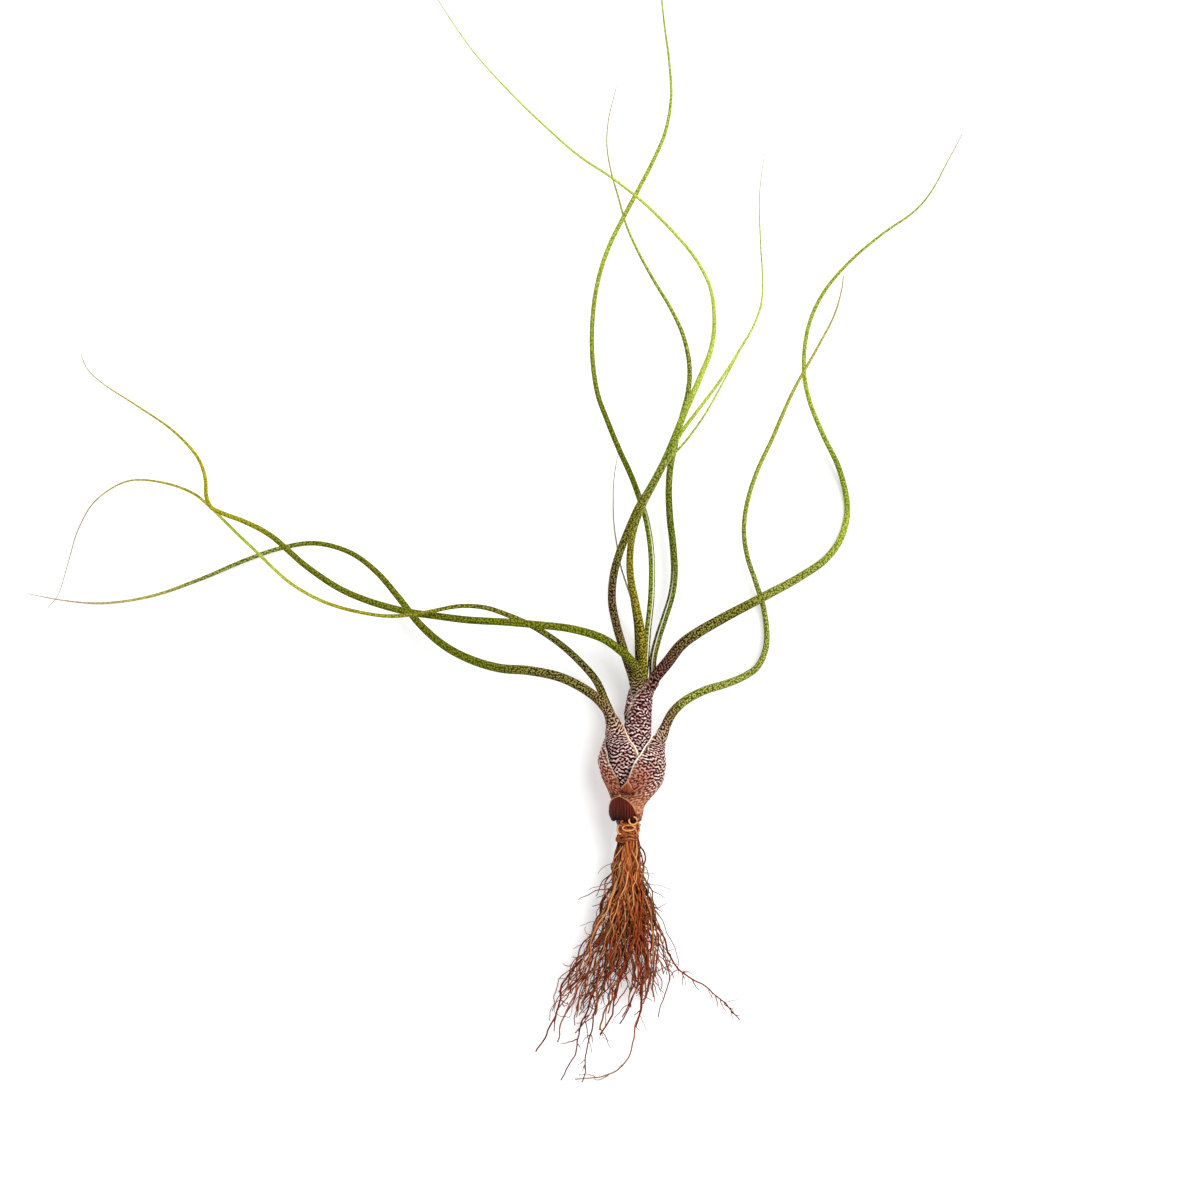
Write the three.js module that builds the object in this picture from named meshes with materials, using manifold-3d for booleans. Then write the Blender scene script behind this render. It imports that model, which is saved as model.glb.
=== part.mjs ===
// A bulbous air plant (Tillandsia butzii) as picked, lying on its back on a surface.
// Millimetres. +Y runs from the roots to the leaf tips, +Z is up. The origin is on the
// surface, under the widest part of the bulb.
import * as THREE from "three";
import Module from "manifold-3d";
import { mergeVertices } from "three/addons/utils/BufferGeometryUtils.js";

const wasm = await Module();
wasm.setup();

// Driving dimensions
const CROWN = new THREE.Vector2(-2.5, -19.1); // lower end of the bulb's axis, seen from above
const LEAN = THREE.MathUtils.degToRad(7.1); // the bulb leans to the right of +Y
const AXIS_HEIGHT = 11.75; // bulb axis above the surface
const SHEATH_WALL = 0.8;
const BRACT_WALL = 0.65;
const FLAT_WALL = 0.62; // wall left over the flat spot that the bulb rests on
const CLEARANCE = 0.35; // between leaf bases that lie one inside the other
const THINNEST = 0.3; // smallest blade radius

// Facets
const SHEATH_SIDES = 12; // across a leaf base, on each face
const INNER_SIDES = 8; // the same on the leaf bases hidden inside
const SHEATH_STEP = 3.1; // between sections in the bulb
const BLADE_STEP = 6.8; // between sections along a blade
const ROUND_SIDE = [0, 0.2, 0.4, 0.6, 0.8, 1]; // round part of a rolled blade's section
const GROOVE = 1.5; // the channel's bottom, halfway along the inner face
const GROOVE_DEPTH = 0.52; // share of the blade's radius
const ROLLED = THREE.MathUtils.degToRad(162); // half angle of a blade that has rolled shut
const SEAM = 1e-4; // sets the inner face's first point apart from the outer face's last
const TURNING_RADIUS = [2.8, 5.5]; // sheath sections turn square to the blade between these

const WAXY_LEAF = { roughness: 0.62, metalness: 0 };
const COLOURS = {
  olive: 0x6a6b34,
  green: 0x76903a,
  yellow: 0x9c9a34,
  brown: 0x6b4a3c,
  bract: 0x4a2a26,
  scale: 0x8a6450,
  stem: 0xa58a62,
  root: 0x8a5530,
};

// Each leaf: azimuth is the way its back faces round the bulb's axis (0 right, 90 up).
// sheath rows are [distance from the crown, the arc's centre across and up from the axis,
// arc radius, half angle, turn of the arc's middle from the azimuth], angles in degrees.
// rib rows, for the young leaves inside the neck, are [distance from the crown, across,
// up, radius]. route is the free blade's centre line, and thickness its radius at even
// steps from the neck to the tip. lowest is the level that a sheath is flattened at.
const LEAVES = {
  leaf_right_outer: {
    colour: "green",
    azimuth: -10,
    sheath: [
      [2.5, 0, 0, 5.3, 128], [5, 0, 0, 6.4, 122], [8.5, 0, 0, 8.6, 115], [12, 0, 0, 11, 108],
      [15.5, 0, 0, 12.3, 102], [20.2, 0, 0, 12.55, 96], [22.4, 0.6, 0, 11.6, 93],
      [25, 2.2, -0.3, 9.4, 85, 8], [28, 5.3, 0, 6.1, 93, 12], [31, 8.8, -0.6, 3, 135, 8],
    ],
    route: [
      [14.3, 18.5, 11], [18.4, 22.7, 10.9], [25.9, 26.8, 10.1], [34.2, 29.4, 8.6],
      [40.3, 31.9, 6.8], [45, 35.1, 5.2], [48.1, 41.4, 3.4], [48.6, 48.2, 2.4],
      [47.3, 57.2, 2.4], [44.6, 65.9, 4.5], [41.6, 74.9, 9], [40.3, 83.9, 14],
      [41.4, 94.3, 20], [45, 105.8, 25.5], [50, 116.6, 29], [57.9, 134.5, 32.5],
      [66.6, 150.1, 34], [72.7, 162, 34], [75.4, 171.7, 34], [75.8, 175.7, 34.5],
    ],
    thickness: [1.95, 1.45, 0.98, 0.86, 0.74, 0.5, 0.2],
  },
  leaf_left_back: {
    colour: "yellow",
    lowest: FLAT_WALL + CLEARANCE,
    azimuth: 213,
    sheath: [
      [4.4, 0, 0, 4.95, 125], [7, 0, 0, 6.35, 112], [10, 0, 0, 8, 104], [13, -0.2, 0, 9.7, 98],
      [16, -0.6, 0, 10.6, 90], [19.2, -1.3, 0.2, 11.1, 82], [22.5, -1.7, 0.5, 10.4, 72],
      [26, -2.3, -1.5, 9, 49], [28, -4.1, -2.7, 6.8, 42], [30, -6, -3.9, 4.6, 60],
      [32, -7.1, -4.6, 3.2, 95], [33.5, -7.9, -5.1, 2.3, 125],
    ],
    route: [
      [-9.2, 22, 7], [-12.6, 29.9, 9], [-18, 36.4, 12],
      [-26.3, 43.9, 16.5], [-35.6, 49.9, 21], [-44.6, 54, 25], [-52.9, 56.7, 28],
      [-61.9, 57.2, 30.5], [-74.5, 54.9, 32], [-86, 53.6, 31.5], [-97.2, 54.9, 29.5],
      [-110.5, 58.7, 26], [-122.8, 65.5, 22], [-135, 76.7, 19.5], [-143.3, 84.6, 21.5],
      [-151.2, 92.5, 25.5], [-157.9, 97.9, 29], [-170.3, 101.9, 33], [-181.4, 101.9, 35],
      [-192.6, 94.9, 34], [-198.7, 85, 30], [-202.9, 72, 22], [-206.6, 61.2, 14],
      [-210.4, 56.5, 10.5],
    ],
    thickness: [1.7, 1.1, 0.7, 0.6, 0.52, 0.25, 0.12],
  },
  leaf_left_front: {
    colour: "olive",
    azimuth: 152,
    sheath: [
      [6.5, 0, 0, 4.75, 130], [8, 0, 0, 5.5, 120], [11, 0, 0, 7.4, 110], [14.5, -0.3, 0.1, 9, 100],
      [18, -0.4, 0.2, 9.5, 92], [22, -0.7, 0.4, 9, 84], [26, -1.8, 0.9, 8, 80],
      [28, -4.2, 2.2, 6.5, 88], [30, -6.3, 3.3, 4.8, 112], [34, -8.6, 4.6, 2.9, 150],
    ],
    route: [
      [-9.2, 20.2, 17.5], [-13, 24.5, 18.2], [-18.7, 28.4, 18], [-25.9, 31.7, 17],
      [-36.7, 34, 15], [-47.5, 34.9, 13], [-57.6, 37.8, 11], [-67.3, 42.8, 9],
      [-76.3, 50.6, 7.5], [-84.2, 60.5, 6.5], [-92.2, 69.7, 6], [-101.5, 76.5, 5.5],
      [-114.1, 79.9, 4.6], [-126.7, 78.1, 3.8], [-139.3, 73.8, 3], [-155.5, 67, 1.8],
      [-173.5, 60.8, 0.5], [-191.2, 58.3, 1.2], [-205.9, 59.4, 3], [-217.8, 61.7, 5.5],
    ],
    thickness: [1.9, 1.72, 1.4, 0.95, 0.78, 0.5, 0.15],
  },
  leaf_right_inner: {
    colour: "olive",
    azimuth: 30,
    sheath: [
      [8, 0, 0, 4.35, 140], [12, 0, 0, 5.3, 135], [17, 0, 0, 7, 130], [22, 0, 0, 7.4, 128],
      [27, 0, 0, 6.5, 128], [31, 0, 0, 5.7, 126], [35, 0, 0, 5.4, 122], [40, 0.1, 0, 4.9, 100],
      [44, 0.7, 0.4, 4.4, 70], [46, 1.6, 0.9, 3.7, 64], [48, 2.6, 1.5, 3, 80],
      [51.5, 4.3, 2.5, 2.35, 140],
    ],
    route: [
      [12.8, 37.1, 15.5], [17.6, 43.2, 16], [23.4, 47.5, 15.5], [33.5, 53.3, 13.5],
      [47.2, 60.5, 11], [60.5, 67.7, 7], [70, 74.3, 3.8], [75.2, 81.4, 1.7],
      [77.6, 90.2, 0.9], [77.2, 97.2, 1.4], [74.4, 107.5, 3.5], [68.4, 119.9, 7.5],
      [63.5, 132.5, 11.5], [61.8, 143.6, 15], [63.5, 158, 19], [68.4, 169.2, 22.5],
      [77, 179.8, 26], [89.3, 190.4, 29.5], [101.5, 199.1, 32], [107.3, 205.9, 33.5],
      [113, 216.4, 35], [118.4, 226.4, 36],
    ],
    thickness: [2.3, 1.72, 1.25, 0.9, 0.72, 0.45, 0.15],
  },
  leaf_left_inner: {
    colour: "green",
    sides: INNER_SIDES,
    azimuth: 100,
    sheath: [
      [10.5, 0, 0, 3.8, 140], [15, 0, 0, 4.6, 130], [20, 0, 0, 6, 125], [26, 0, 0, 5.3, 120],
      [31, 0, 0, 4.5, 112], [35, 0, 0, 4.2, 84], [37.5, 0, 0, 3.9, 60], [40, 0, 0, 3.6, 46],
      [44, -0.1, 0.8, 2.6, 52], [48, -0.3, 1.9, 2.1, 110], [51, -0.6, 3.3, 1.75, 140],
    ],
    route: [
      [2.9, 34.9, 16.5], [-0.4, 38.7, 18.8], [-3.6, 41.4, 21], [-10.8, 45.7, 25],
      [-21.6, 49, 29.5], [-32.8, 50.4, 33], [-45.7, 51.5, 34.5], [-58.3, 52.2, 32],
      [-69.1, 53.5, 27.5], [-81.7, 55.4, 23.5], [-94.3, 58.9, 21.5], [-105.1, 63.5, 21.5],
      [-117.4, 71.8, 23.5], [-130.1, 82.8, 27.5], [-139.5, 87.7, 31], [-146.9, 90.5, 34],
      [-151, 92.7, 36], [-152.6, 96.5, 38], [-153, 103.3, 40.5], [-155.5, 110.2, 42],
      [-163.8, 119.5, 42.5], [-177.7, 129.2, 41], [-189.7, 137, 38.5], [-195.3, 142.2, 37],
      [-197.6, 147.2, 36],
    ],
    thickness: [1.65, 1.4, 1.3, 1.15, 0.88, 0.45, 0.15],
  },
  leaf_middle_tall: {
    colour: "olive",
    sides: INNER_SIDES,
    azimuth: 197,
    sheath: [
      [12.5, 0, 0, 2.95, 140], [16, 0, 0, 3.5, 130], [21, 0, 0, 4.5, 120], [27, 0, 0, 3.9, 100],
      [31, 0, 0, 3.3, 66], [35, 0, 0, 3, 36], [40, -0.5, -0.1, 2.7, 38],
      [44, -1.4, -0.4, 2.3, 54], [48, -2.4, -0.7, 1.9, 85], [51, -3.2, -1, 1.65, 140],
    ],
    route: [
      [-1.1, 35.6, 12], [-2.9, 41.4, 14], [-5.4, 50, 18], [-7.1, 58.7, 22.5],
      [-6.7, 67.3, 27], [-5, 74.5, 31], [-1.6, 83.5, 36], [2.2, 92.2, 41],
      [6.7, 99.7, 45], [11.5, 108.7, 49], [15.5, 118.1, 52.5], [18.9, 126.7, 55],
      [24.5, 139.3, 57.5], [28.3, 149.4, 58.5], [29.4, 160.2, 58.5], [27.7, 171.7, 57],
      [22.7, 181.4, 54.5], [15.8, 189.9, 51.5], [4.7, 201.1, 47.5], [-7.2, 210.6, 44.5],
      [-18.7, 218.3, 42], [-30.1, 228.2, 39.5], [-43.9, 241.6, 37], [-56.5, 255.6, 35],
      [-63.9, 265.9, 34], [-70.6, 276.5, 33.5], [-76, 286.9, 33.5],
    ],
    thickness: [1.65, 1.5, 1.3, 0.68, 0.5, 0.32, 0.12],
  },
  leaf_middle: {
    colour: "yellow",
    azimuth: 310,
    rib: [[15.8, 0.1, 1.5, 0.8], [31, 0, 1.3, 0.85], [40, -0.2, 1, 1], [51, 0.3, -0.1, 1.45]],
    route: [
      [3.8, 39.6, 13.5], [3.2, 47.9, 16.5], [1.4, 57.6, 20.5], [-0.4, 66.6, 24],
      [-0.8, 73.8, 27], [-0.2, 80.6, 29.5], [1.6, 87.8, 32], [4.9, 95.4, 34.5],
      [8.8, 102.6, 36.5], [13, 110.5, 38.5], [17.5, 119.2, 40.5], [23.2, 126.9, 42],
      [31, 137.2, 42.5], [39.2, 150.1, 41.5], [43.9, 158.4, 40], [46.4, 166.3, 38],
      [46.8, 175, 36], [46.1, 187.6, 33.5], [45.8, 205.2, 32], [47.9, 222.1, 33],
    ],
    thickness: [1.6, 1.35, 1.1, 0.65, 0.42, 0.25, 0.1],
  },
  leaf_middle_curled: {
    colour: "green",
    azimuth: 240,
    rib: [
      [15.8, 0.9, -1.4, 0.7], [31, 1.2, -1.8, 0.75], [40, 0.4, -2.9, 0.8], [44, 0.3, -3.5, 0.95],
      [47.5, 0.8, -4.3, 1.05], [51, 0.8, -4.1, 1.2],
    ],
    route: [
      [5.2, 39.6, 8.6], [5.8, 48.6, 9.5], [6.9, 59.4, 11.5], [7.2, 70.2, 14],
      [6.7, 79.2, 16.5], [5, 88.9, 19.5], [2.9, 95.4, 21.5], [0, 103.3, 24],
      [-5, 114.3, 27.5], [-9.2, 124.6, 30.5], [-12.2, 132.8, 33], [-14, 143.6, 35.5],
      [-14.4, 154.8, 37.5], [-13.5, 166.7, 39], [-11.2, 177.7, 39.5], [-7.6, 187.6, 39.5],
      [-2.9, 196.9, 39], [2.5, 207, 38], [8.1, 218, 36.5], [11.9, 227.2, 35],
      [14, 239.4, 33], [13.3, 253.1, 31], [11.7, 265.3, 29.5], [10.6, 277.2, 28.5],
      [11.2, 288.4, 28],
    ],
    thickness: [1.25, 1.15, 0.97, 0.82, 0.78, 0.5, 0.2],
  },
  leaf_middle_low: {
    colour: "green",
    azimuth: 260,
    rib: [
      [15.8, 1.9, 0, 0.75], [31, 2, -0.1, 0.8], [40, 2.2, -1, 0.9], [44, 2, -1.8, 1],
      [46, 2.6, -2.4, 1.1], [51, 3.5, -2.6, 1.3],
    ],
    route: [
      [7.6, 38.2, 9.3], [9.4, 45.7, 8.5], [11.9, 53.3, 7.5], [14.4, 61.6, 6.8],
      [15.3, 69.5, 6.5], [14.8, 79.2, 6.5], [13.7, 88.9, 7], [13.3, 98.6, 8],
      [13.8, 106.9, 9], [15.3, 114.5, 10], [18, 125.3, 11.5], [20.2, 134.3, 13],
      [20.7, 143.6, 14.5], [18.4, 154.6, 16.5], [13.7, 164.7, 18.5], [8.1, 173.9, 20.5],
      [2.5, 184, 22.5], [-2, 194, 24.5], [-4.9, 204.1, 26], [-7.4, 212.8, 27],
      [-9, 222.5, 28], [-8.5, 231.5, 29], [-6.8, 239, 30], [-5.6, 243.7, 30.5],
    ],
    thickness: [1.35, 1.3, 1.2, 0.9, 0.58, 0.32, 0.12],
  },
  leaf_middle_thin: {
    colour: "yellow",
    azimuth: 200,
    rib: [
      [15.8, -1.6, -0.2, 0.55], [31, -1.4, -0.4, 0.55], [40, -0.5, -1.1, 0.6], [44, -0.7, -1.9, 0.6],
      [47.5, -1, -3.4, 0.65], [51, -1.8, -3.7, 0.85],
    ],
    route: [
      [1.8, 40.7, 8.6], [1.4, 50.4, 11], [0, 60.1, 14], [-1.4, 70.2, 17],
      [-0.7, 79.2, 19.5], [2.2, 88.6, 22], [6.5, 97.6, 24.5], [10.4, 105.1, 26.5],
      [14.6, 111.2, 28], [19.4, 116.6, 29.5], [25.9, 125.6, 31], [31.7, 135.7, 32],
      [39.2, 149.8, 33], [44.1, 159.1, 33.5], [47.3, 166.3, 34], [49.1, 171.4, 34.5],
    ],
    thickness: [0.8, 0.7, 0.6, 0.48, 0.38, 0.27, 0.1],
  },
  leaf_middle_hair: {
    colour: "brown",
    azimuth: 270,
    rib: [
      [15.8, -0.6, -1.6, 0.45], [31, -0.5, -1.6, 0.45], [34, -0.35, -1.9, 0.45], [40, -1.4, -3.4, 0.55],
      [44, -1.6, -4.2, 0.6], [51, -1, -5.6, 0.65],
    ],
    route: [
      [3.2, 39.2, 6.2], [2.5, 47.9, 7.5], [0.5, 57.6, 9.5], [-1.6, 63.9, 11],
      [-4, 71.3, 12.5], [-5.4, 78.8, 14], [-6.5, 86.4, 15.5], [-6.8, 93.6, 17],
      [-6.5, 103, 18.5], [-5.2, 111.2, 19.5], [-3.6, 118.8, 20.5],
    ],
    thickness: [0.6, 0.45, 0.36, 0.3, 0.24, 0.18, 0.08],
  },
};

// Bladeless scales at the foot of the bulb. Their rows are [distance from the crown,
// radius, half angle in degrees], and they close to a point.
const SCALES = {
  bract_basal: {
    colour: "bract",
    azimuth: 109,
    rows: [
      [-3.2, 5.2, 112], [-0.2, 5.75, 76], [2.3, 6.4, 58], [4.6, 7.25, 42],
      [6.6, 8.4, 20], [7.6, 9, 3],
    ],
  },
  scale_torn: {
    colour: "scale",
    azimuth: 93,
    rows: [[8.7, 9.75, 17], [10.2, 10.85, 13], [11.7, 11.85, 8], [13.1, 12.55, 2]],
  },
};

// The short stem, as [distance from the crown, radius]
const STEM = [
  [-3, 4], [0, 4.1], [3, 3.9], [6, 3.4], [9, 2.7], [12, 1.8], [13.4, 1.7], [15.4, 1.9],
];

const UP = new THREE.Vector3(0, 0, 1);
const ALONG = new THREE.Vector3(Math.sin(LEAN), Math.cos(LEAN), 0);
const ACROSS = new THREE.Vector3(Math.cos(LEAN), -Math.sin(LEAN), 0);

// A point at a distance from the crown along the bulb's axis, then across and up from it.
function fromAxis(distance, across = 0, up = 0) {
  return new THREE.Vector3(CROWN.x, CROWN.y, AXIS_HEIGHT)
    .addScaledVector(ALONG, distance)
    .addScaledVector(ACROSS, across)
    .addScaledVector(UP, up);
}

function roundTheAxis(degrees) {
  const angle = THREE.MathUtils.degToRad(degrees);
  return ACROSS.clone().multiplyScalar(Math.cos(angle)).addScaledVector(UP, Math.sin(angle));
}

// The value of an evenly spaced list at a share from 0 to 1, joined by straight lines.
function sampled(list, share) {
  const at = Math.min(share, 1) * (list.length - 1);
  const low = Math.min(Math.floor(at), list.length - 2);
  return THREE.MathUtils.lerp(list[low], list[low + 1], at - low);
}

// The sections' centres and sizes from a leaf's base to its tip. The last sheath section
// is also where the blade starts.
function stationsOf(leaf) {
  const bulb = (leaf.sheath || leaf.rib).map(([distance, across, up, radius, half, turn = 0]) => ({
    at: fromAxis(distance, across, up),
    radius,
    half: THREE.MathUtils.degToRad(half),
    turn: THREE.MathUtils.degToRad(turn),
    rolled: Boolean(leaf.rib),
  }));
  const centres = [...bulb.map((k) => k.at), ...leaf.route.map(([x, y, z]) => new THREE.Vector3(x, y, z))];
  const curve = new THREE.CatmullRomCurve3(centres, false, "centripetal");
  const spans = centres.length - 1;
  const bladeFrom = bulb.length - 1;
  const lengths = centres.slice(1).map((at, i) => at.distanceTo(centres[i]));
  const bladeLength = lengths.slice(bladeFrom).reduce((sum, length) => sum + length, 0);

  const stations = [];
  let travelled = 0;
  for (let i = 0; i < spans; i++) {
    const onBlade = i >= bladeFrom;
    const step = onBlade || leaf.rib ? BLADE_STEP : SHEATH_STEP;
    const steps = Math.max(1, Math.round(lengths[i] / step));
    for (let k = 0; k < steps; k++) {
      const part = k / steps;
      const place = { at: curve.getPoint((i + part) / spans), tangent: curve.getTangent((i + part) / spans) };
      if (!onBlade) stations.push({ ...between(bulb[i], bulb[i + 1], part), ...place });
      else if (i === bladeFrom && k === 0) stations.push({ ...bulb[i], ...place });
      else stations.push({ ...bladeSize(travelled + part * lengths[i]), ...place });
    }
    if (onBlade) travelled += lengths[i];
  }
  stations.push({ ...bladeSize(bladeLength), at: curve.getPoint(1), tangent: curve.getTangent(1) });
  return stations;

  function bladeSize(along) {
    const radius = Math.max(sampled(leaf.thickness, along / bladeLength), THINNEST);
    return { radius, turn: 0, rolled: true };
  }
}

function between(a, b, part) {
  const mix = (key) => THREE.MathUtils.lerp(a[key], b[key], part);
  return { radius: mix("radius"), half: mix("half"), turn: mix("turn"), rolled: a.rolled };
}

// Turns each section's plane from square to the bulb's axis, while the sheath is wide,
// to square to the blade, and carries the way the leaf's back faces along without twist.
function orient(stations, azimuth) {
  let back = roundTheAxis(azimuth);
  for (const s of stations) {
    const narrowed = s.rolled ? 1 : 1 - THREE.MathUtils.smoothstep(s.radius, ...TURNING_RADIUS);
    const normal = ALONG.clone().lerp(s.tangent, narrowed).normalize();
    back = back.clone().addScaledVector(normal, -back.dot(normal)).normalize();
    s.back = back.clone().applyAxisAngle(normal, -s.turn);
    s.side = normal.clone().cross(s.back);
  }
  return stations;
}

// One point of a section. From 0 to 1 it runs along the outer face from one margin to the
// other, and from 1 to 2 back along the inner face. A rolled section is round, with a
// narrow channel where its margins meet.
function sectionPoint(s, along, wall, lowest) {
  const outer = along <= 1;
  const share = outer ? along : 2 - along;
  let radius = outer ? s.radius : s.radius - wall;
  let angle = (2 * share - 1) * (s.rolled ? ROLLED : s.half);
  if (s.rolled && !outer) {
    radius = s.radius * (1 - GROOVE_DEPTH * (1 - Math.abs(2 * share - 1)));
    angle = Math.PI;
  }
  const p = s.at
    .clone()
    .addScaledVector(s.back, radius * Math.cos(angle))
    .addScaledVector(s.side, radius * Math.sin(angle));
  p.z = Math.max(p.z, outer ? lowest : lowest + FLAT_WALL); // flat where it would reach lower
  return p;
}

function ringOf(s, wall, sides = SHEATH_SIDES, lowest = 0) {
  const across = Array.from({ length: sides + 1 }, (_, k) => k / sides);
  const broad = [...across, ...across.map((share) => 1 + Math.max(share, SEAM))];
  const places = s.rolled ? [...ROUND_SIDE, GROOVE] : broad;
  return places.map((along) => ({ along, p: sectionPoint(s, along, wall, lowest) }));
}

// Joins rings of any number of points into one closed surface, flat at the first ring and
// with a point at the far end. Between two rings, whichever has its next point first, by
// the points' place along the section, gives the next triangle.
function skin(rings, apex) {
  const points = [];
  const faces = [];
  const start = rings.map((ring) => {
    points.push(...ring.map(({ p }) => p));
    return points.length - ring.length;
  });
  const id = (r, k) => start[r] + (k % rings[r].length);
  for (let r = 0; r + 1 < rings.length; r++) {
    const [low, high] = [rings[r], rings[r + 1]];
    let [i, j] = [0, 0];
    while (i < low.length || j < high.length) {
      const nextLow = i < low.length ? (low[i + 1]?.along ?? 2) : Infinity;
      const nextHigh = j < high.length ? (high[j + 1]?.along ?? 2) : Infinity;
      const lowFirst = nextLow < nextHigh || (nextLow === nextHigh && nextLow <= 1);
      if (lowFirst) faces.push(id(r, i), id(r, ++i), id(r + 1, j));
      else faces.push(id(r, i), id(r + 1, j + 1), id(r + 1, j++));
    }
  }
  const base = rings[0];
  const n = base.length;
  if (base.at(-1).along === GROOVE)
    for (let k = 0; k + 2 < n; k++) faces.push(id(0, n - 1), id(0, k + 1), id(0, k));
  else
    for (let k = 0; k + 1 < n / 2; k++) {
      faces.push(id(0, k), id(0, n - 1 - k), id(0, k + 1));
      faces.push(id(0, k + 1), id(0, n - 1 - k), id(0, n - 2 - k));
    }
  const last = rings.length - 1;
  points.push(apex);
  for (let k = 0; k < rings[last].length; k++)
    faces.push(id(last, k), id(last, k + 1), points.length - 1);
  const geometry = new THREE.BufferGeometry().setFromPoints(points);
  geometry.setIndex(faces);
  return geometry;
}

function named(name, geometry, colour, finish = WAXY_LEAF) {
  geometry.computeVertexNormals();
  const material = new THREE.MeshStandardMaterial({ color: COLOURS[colour], ...finish });
  const mesh = new THREE.Mesh(geometry, material);
  mesh.name = name;
  return mesh;
}

function leafMesh(name, leaf) {
  const stations = orient(stationsOf(leaf), leaf.azimuth);
  const tip = stations.at(-1);
  const apex = tip.at.clone().addScaledVector(tip.tangent, 2 * THINNEST);
  const rings = stations.map((s) => ringOf(s, SHEATH_WALL, leaf.sides, leaf.lowest));
  return named(name, skin(rings, apex), leaf.colour);
}

function scaleMesh(name, scale) {
  const stations = scale.rows.map(([distance, radius, half]) => ({
    at: fromAxis(distance),
    back: roundTheAxis(scale.azimuth),
    side: ALONG.clone().cross(roundTheAxis(scale.azimuth)),
    radius,
    half: THREE.MathUtils.degToRad(half),
    rolled: false,
  }));
  const top = stations.at(-1);
  const apex = top.at
    .clone()
    .addScaledVector(top.back, top.radius - BRACT_WALL / 2)
    .addScaledVector(ALONG, BRACT_WALL);
  const rings = stations.map((s) => ringOf(s, BRACT_WALL, INNER_SIDES));
  return named(name, skin(rings, apex), scale.colour);
}

// A turned solid on the bulb's axis from rows of [distance from the crown, radius].
function turned(rows) {
  const profile = [[rows[0][0], 0], ...rows, [rows.at(-1)[0], 0]];
  const geometry = new THREE.LatheGeometry(profile.map(([d, r]) => new THREE.Vector2(r, d)), 16);
  geometry.applyMatrix4(new THREE.Matrix4().makeBasis(ACROSS, ALONG, UP));
  geometry.applyMatrix4(new THREE.Matrix4().makeTranslation(...fromAxis(0).toArray()));
  return geometry;
}

function stemMesh() {
  return named("stem", turned(STEM), "stem", { roughness: 0.85, metalness: 0 });
}

// Roots
const ROOTS = 34;
const ROOT_SEED = 7;
const ROOT_RADIUS = 0.46;
const ROOT_KNOT = [[-3.5, 4.1], [-5, 4.8], [-7.5, 4.4], [-10, 3.2]]; // as the stem's rows
const ROOT_START = 2.5; // below the top of the knot
const ROOT_SHORTEST = 44;
const ROOT_EXTRA = 26; // most that a root is longer
const ROOT_EXTRA_LEFT = 20; // most that one at the left is longer still
const ROOT_SWAY = [0.5, 1.3];
const ROOT_STEP = 9;
const ROOT_SIDES = 3;
const ROOT_TAPER = 0.3;
const GOLDEN_ANGLE = Math.PI * (3 - Math.sqrt(5));

// The bunch's half width across, half depth and drop, at its top and where it is full
const BUNCH_TOP = { across: 4.1, depth: 3.4, drop: 0 };
const BUNCH_FULL = { across: 23, depth: 9, drop: 3 };
const BUNCH_SPREAD = [2, 78]; // distances below the crown between which it widens
const BUNCH_BEND_FROM = 36; // below here it bends to the left
const BUNCH_BEND = 0.006;

function seeded(seed) {
  let state = seed;
  return () => {
    state = (state * 16807) % 2147483647;
    return state / 2147483647;
  };
}

// Where a root is, a distance below the top of the knot: the bunch widens, bends to the
// left and sinks towards the surface. out and turn place the root in the bunch, from its
// heart (0) to its edge (1), and sway moves it a little from side to side.
function rootPoint(below, out, turn, sway) {
  const fan = THREE.MathUtils.smoothstep(below, ...BUNCH_SPREAD);
  const size = (key) => THREE.MathUtils.lerp(BUNCH_TOP[key], BUNCH_FULL[key], fan);
  const bend = BUNCH_BEND * Math.max(0, below - BUNCH_BEND_FROM) ** 2;
  const wave = [Math.sin(below / 11 + turn * 3), 0.6 * Math.cos(below / 9 + turn * 5)];
  const p = fromAxis(ROOT_KNOT[0][0]);
  p.x += out * Math.cos(turn) * size("across") - bend + sway * wave[0];
  p.y -= below;
  p.z += out * Math.sin(turn) * size("depth") - size("drop") + sway * wave[1];
  p.z = Math.max(p.z, 1.2 * ROOT_RADIUS);
  return p;
}

// A tube with few sides along points, thinning to the end.
function strand(points, radius, sides) {
  const ringParts = points.map((p, i) => {
    const before = points[Math.max(i - 1, 0)];
    const after = points[Math.min(i + 1, points.length - 1)];
    const tangent = after.clone().sub(before).normalize();
    const side = tangent.clone().cross(UP).normalize();
    const lift = side.clone().cross(tangent);
    const r = radius * (1 - ROOT_TAPER * (i / points.length));
    return Array.from({ length: sides }, (_, k) => {
      const angle = (2 * Math.PI * k) / sides;
      return p.clone().addScaledVector(side, r * Math.cos(angle)).addScaledVector(lift, r * Math.sin(angle));
    });
  });
  const vertices = ringParts.flat();
  const faces = [];
  for (let r = 0; r + 1 < points.length; r++)
    for (let k = 0; k < sides; k++) {
      const [a, b] = [r * sides + k, r * sides + ((k + 1) % sides)];
      faces.push(a, a + sides, b, b, a + sides, b + sides);
    }
  const end = vertices.length - sides;
  for (let k = 1; k + 1 < sides; k++) {
    faces.push(0, k, k + 1);
    faces.push(end, end + k + 1, end + k);
  }
  const geometry = new THREE.BufferGeometry().setFromPoints(vertices);
  geometry.setIndex(faces);
  return geometry;
}

function solidOf(geometry) {
  const bare = geometry.clone();
  bare.deleteAttribute("normal");
  bare.deleteAttribute("uv");
  const merged = mergeVertices(bare, 1e-4);
  return new wasm.Manifold(
    new wasm.Mesh({
      numProp: 3,
      vertProperties: merged.attributes.position.array,
      triVerts: new Uint32Array(merged.index.array),
    }),
  );
}

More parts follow.
